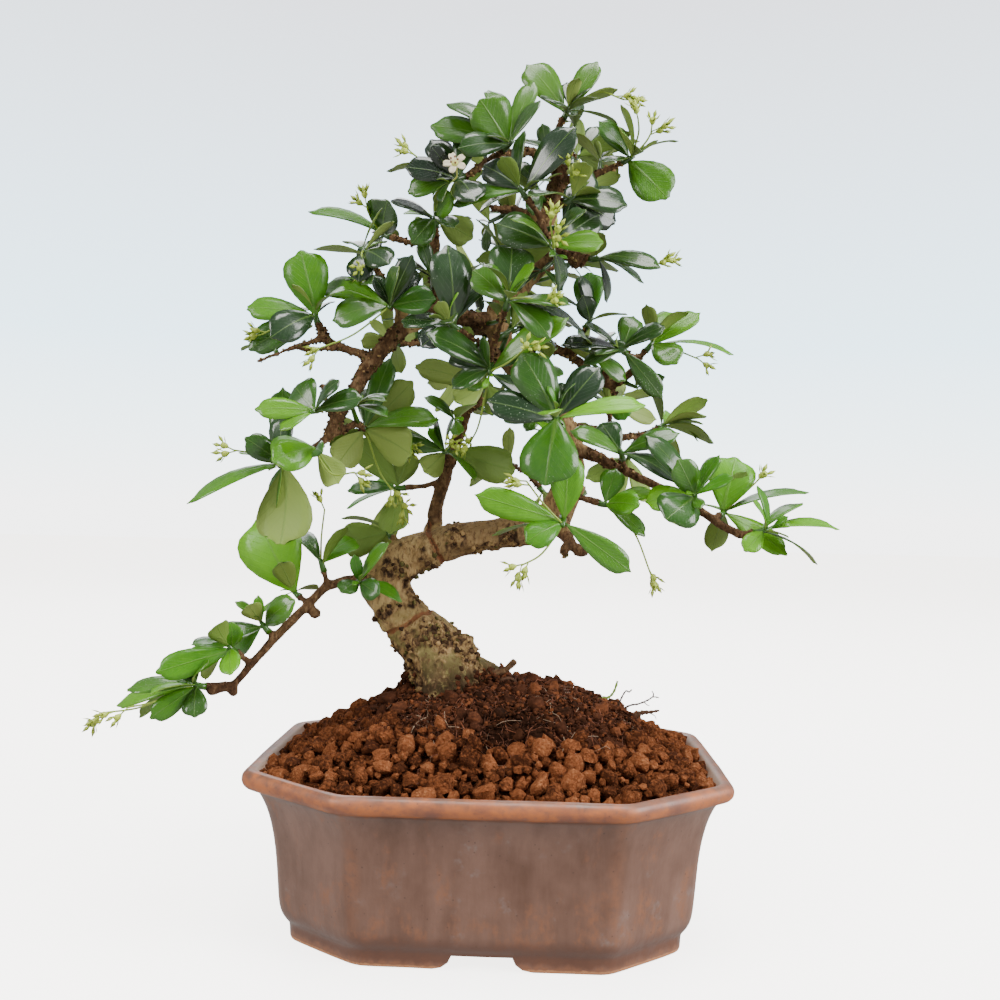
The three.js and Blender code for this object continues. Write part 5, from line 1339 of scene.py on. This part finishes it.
def make_loose_roots():
    parts = []
    for kind, foot, tip, y, places in LOOSE_ROOTS:
        path = smooth_path(np.insert(np.array(places, float), 1, y, axis=1))
        knots = 1 + 0.25 * np.sin(2.3 * np.arange(len(path)) + foot * 40)
        parts.append((*tube(path, np.linspace(foot, tip, len(path)) * knots, 6), ROOT_TINTS[kind]))
    finished(gathered("loose", parts, ("tint",)), "loose_roots", loose_root_finish(), "bark")


make_loose_roots()


# The buds: thread-thin pale stalks that hang or rise out of the shoots, each with a few calyces at its
# end, a small cup with five pointed sepals, open or still closed.
BUD_STALKS = [  # the shoot, the place in millimetres where its calyces are, how far it sags, and how many
    ("low_left_end", (-124, -34, 77), 3, 4), ("low_left_end", (-113, -38, 80), 2, 1),
    ("arch_tip", (-79, -36, 170), -2, 3), ("arch_left", (-71, -33, 211), 1, 3),
    ("apex", (56, -10, 305), -3, 4), ("top_right", (66, -16, 291), 0, 4),
    ("top_right", (61, -15, 296), -1, 3), ("right_knob", (71, -15, 243), 2, 4),
    ("centre_low", (22, -50, 133), 2, 4), ("centre_low_right", (67, -32, 130), -3, 2),
    ("top_middle", (36, -37, 267), 0, 2), ("middle_front", (29, -43, 249), 0, 3),
    ("middle_front", (30, -44, 244), 0, 2), ("riser_middle", (-5, -13, 175), 0, 3),
    ("centre_low", (23, -50, 161), 0, 3), ("centre_left", (2, -13, 176), 4, 2),
    ("arch_mid", (-22, -14, 175), 2, 2), ("riser_side", (-24, -6, 153), 3, 2),
    ("arch_end", (-36, -40, 163), 3, 3), ("middle_high", (28, -47, 220), 0, 2),
    ("centre_left", (22, -46, 206), 0, 2), ("low_left_stub", (-50, -20, 150), 2, 1),
    ("arch_mid", (-26, -20, 158), 4, 2), ("arch_back_twig", (-38, -16, 262), 0, 3),
    ("arch_rise", (-36, -30, 236), 0, 2), ("top_flowering", (-20, -33, 276), 0, 3),
    ("right_upper_end", (88, 4, 211), 1, 2), ("right_low_out", (104, -26, 163), 0, 2),
    ("arch_front", (-50, -36, 206), 2, 2),
]
CALYX = {"cup": 1.35, "sepal": 4.0, "flare": (0.4, 1.2), "stalk": 0.32, "pedicel": (1.6, 3.6)}
CALYX_COLOURS = {"stalk": (0.26, 0.38, 0.045), "sepal": (0.46, 0.56, 0.07)}


def calyx(draw, place, way):
    """A cup with five pointed sepals round its mouth, as a few closed parts."""
    square, cup = frame_round(way), CALYX["cup"]
    parts = [tube([place, place + way * cup, place + way * 2 * cup], np.array([0.3, 0.95, 0.8]) * cup, 5)]
    flare, start = draw.uniform(*CALYX["flare"]), draw.uniform(0, 6.3)
    for k in range(5):
        out = turned_out(square, start + 2 * math.pi * k / 5)
        along = np.cross(way, out)
        root = place + way * 1.5 * cup + out * 0.55 * cup
        tip = root + (way + out * flare) * CALYX["sepal"] * draw.uniform(0.8, 1.1) / math.hypot(1, flare)
        belly = (root + tip) / 2 + out * 0.25
        corners = [root - way * 0.3, belly + along * 0.8, belly - along * 0.8, belly - out * 0.4, tip]
        sides = [(0, 1, 2), (0, 3, 1), (0, 2, 3), (4, 2, 1), (4, 1, 3), (4, 3, 2)]
        parts.append((np.array(corners) * MM, sides))
    return parts


def bud_finish():
    start = shading("bud")
    colour = start.attribute("tint").ramp((0, CALYX_COLOURS["stalk"]), (1, CALYX_COLOURS["sepal"]))
    return surface(start, colour, 0.45)


def make_buds():
    draw = random.Random(21)
    parts = []
    for shoot, end, sag, count in BUD_STALKS:
        hub, _, axis = HUBS["shoot_" + shoot]
        end = np.array(end, float)
        along = (end - hub) / np.linalg.norm(end - hub)
        middle = (hub + end) / 2 + axis * 2 - (0, 0, sag)
        path = smooth_path([hub + axis, middle, end], 6)
        stalk = CALYX["stalk"]
        parts.append((*tube(path, np.linspace(1.25 * stalk, stalk, len(path)), 5), 0.1))
        square = frame_round(along)
        for k in range((count + 2) // 2):
            way = along + turned_out(square, draw.uniform(0, 6.3)) * draw.uniform(0.3, 1.1)
            way /= np.linalg.norm(way)
            foot = path[-1 - min(k, 3)]
            tip = foot + way * draw.uniform(*CALYX["pedicel"])
            parts.append((*tube([foot, (foot + tip) / 2, tip], 0.85 * stalk, 4), 0.25))
            parts += [(points, faces, draw.uniform(0.6, 1.0)) for points, faces in calyx(draw, tip, way)]
    finished(gathered("buds", parts, ("tint",)), "flower_buds", bud_finish(), "foliage")


make_buds()


# The one open flower: five cream petals with rounded, slightly recurved tips round a short throat, five
# stamens with brown anthers, and a thin green stalk from the tip of its shoot.
FLOWER = {"at": (-4.1, -37.5, 270.5), "way": (-0.1, -1, 0.3), "turn": 0.3, "petal": 3.6, "width": 3.0,
          "tilt": 0.5, "thick": 0.14, "stamen": 2.4, "anther": 0.45, "thread": 0.12, "stalk": 0.3}
PETAL_COLOURS = {"cream": (0.74, 0.66, 0.46), "throat": (0.50, 0.52, 0.12), "anther": (0.20, 0.09, 0.03)}


def petal_finish():
    start = shading("petal")
    tint = start.attribute("tint")
    colour = tint.ramp((0, PETAL_COLOURS["throat"]), (0.3, PETAL_COLOURS["cream"]))
    colour = colour.to(PETAL_COLOURS["anther"], tint.above(1.4, 1.6))
    return surface(start, colour, 0.6)


def petal(place, way, out):
    """One petal as a thin closed sheet. It runs out of the throat and bends back at its tip."""
    t, v = np.meshgrid(np.linspace(0, 1, 7), np.linspace(-1, 1, 5), indexing="ij")
    along = np.cross(way, out)
    half = FLOWER["width"] / 2 * np.sqrt(np.clip(1 - (1.75 * t - 0.85) ** 2 / 1.06, 0.02, 1))
    half *= 0.35 + 0.65 * t ** 0.5
    lift = FLOWER["tilt"] * np.sin(2.4 * t) * 1.4 + 0.35 * v ** 2 * t
    sheet = place + (t * FLOWER["petal"])[..., None] * out + (v * half)[..., None] * along
    return *thin_sheet(sheet + lift[..., None] * way, FLOWER["thick"] * way), np.tile(t.ravel(), 2)


def make_flower():
    place = np.array(FLOWER["at"])
    way = np.array(FLOWER["way"]) / np.linalg.norm(FLOWER["way"])
    square = frame_round(way)
    hub, _, axis = HUBS["shoot_top_flowering"]
    parts = []
    for k in range(5):
        turn = 2 * math.pi * k / 5 + FLOWER["turn"]
        out, between = turned_out(square, turn), turned_out(square, turn + 0.63)
        parts.append(petal(place + out * 0.5, way, out))
        tip = place + way * FLOWER["stamen"] + between * 1.3
        parts.append((*tube([place, (place + tip) / 2 + way * 0.3, tip], FLOWER["thread"], 4), 0.2))
        ends = [tip - way * 0.4, tip, tip + way * 0.5]
        parts.append((*tube(ends, np.array([0.5, 1, 0.4]) * FLOWER["anther"], 5), 2.0))
    throat = [place - way * 2.6, place - way * 1.2, place + way * 0.5]
    parts.append((*tube(throat, [0.5, 0.9, 1.3], 8), 0.0))
    path = smooth_path([hub + axis * 2.5, (hub + throat[0]) / 2 - (0, 0, 1), throat[0]])
    parts.append((*tube(path, FLOWER["stalk"], 5), 0.0))
    finished(gathered("flower", parts, ("tint",)), "open_flower", petal_finish(), "petal", "flower")


make_flower()


# The mesh over the drain holes, on the pot's floor under the soil: a plain black plastic net with square
# holes. Nothing of it shows from outside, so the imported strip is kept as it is.
NET_COLOUR = (0.012, 0.012, 0.011, 1)


def make_drain_mesh():
    start = shading("black_plastic")
    finish = surface(start, NET_COLOUR, start.noise(3) * 0.2 + 0.5)
    finished(copied("drain_mesh", "net"), "drain_net", finish, "plastic_mesh", "drain_mesh")


make_drain_mesh()
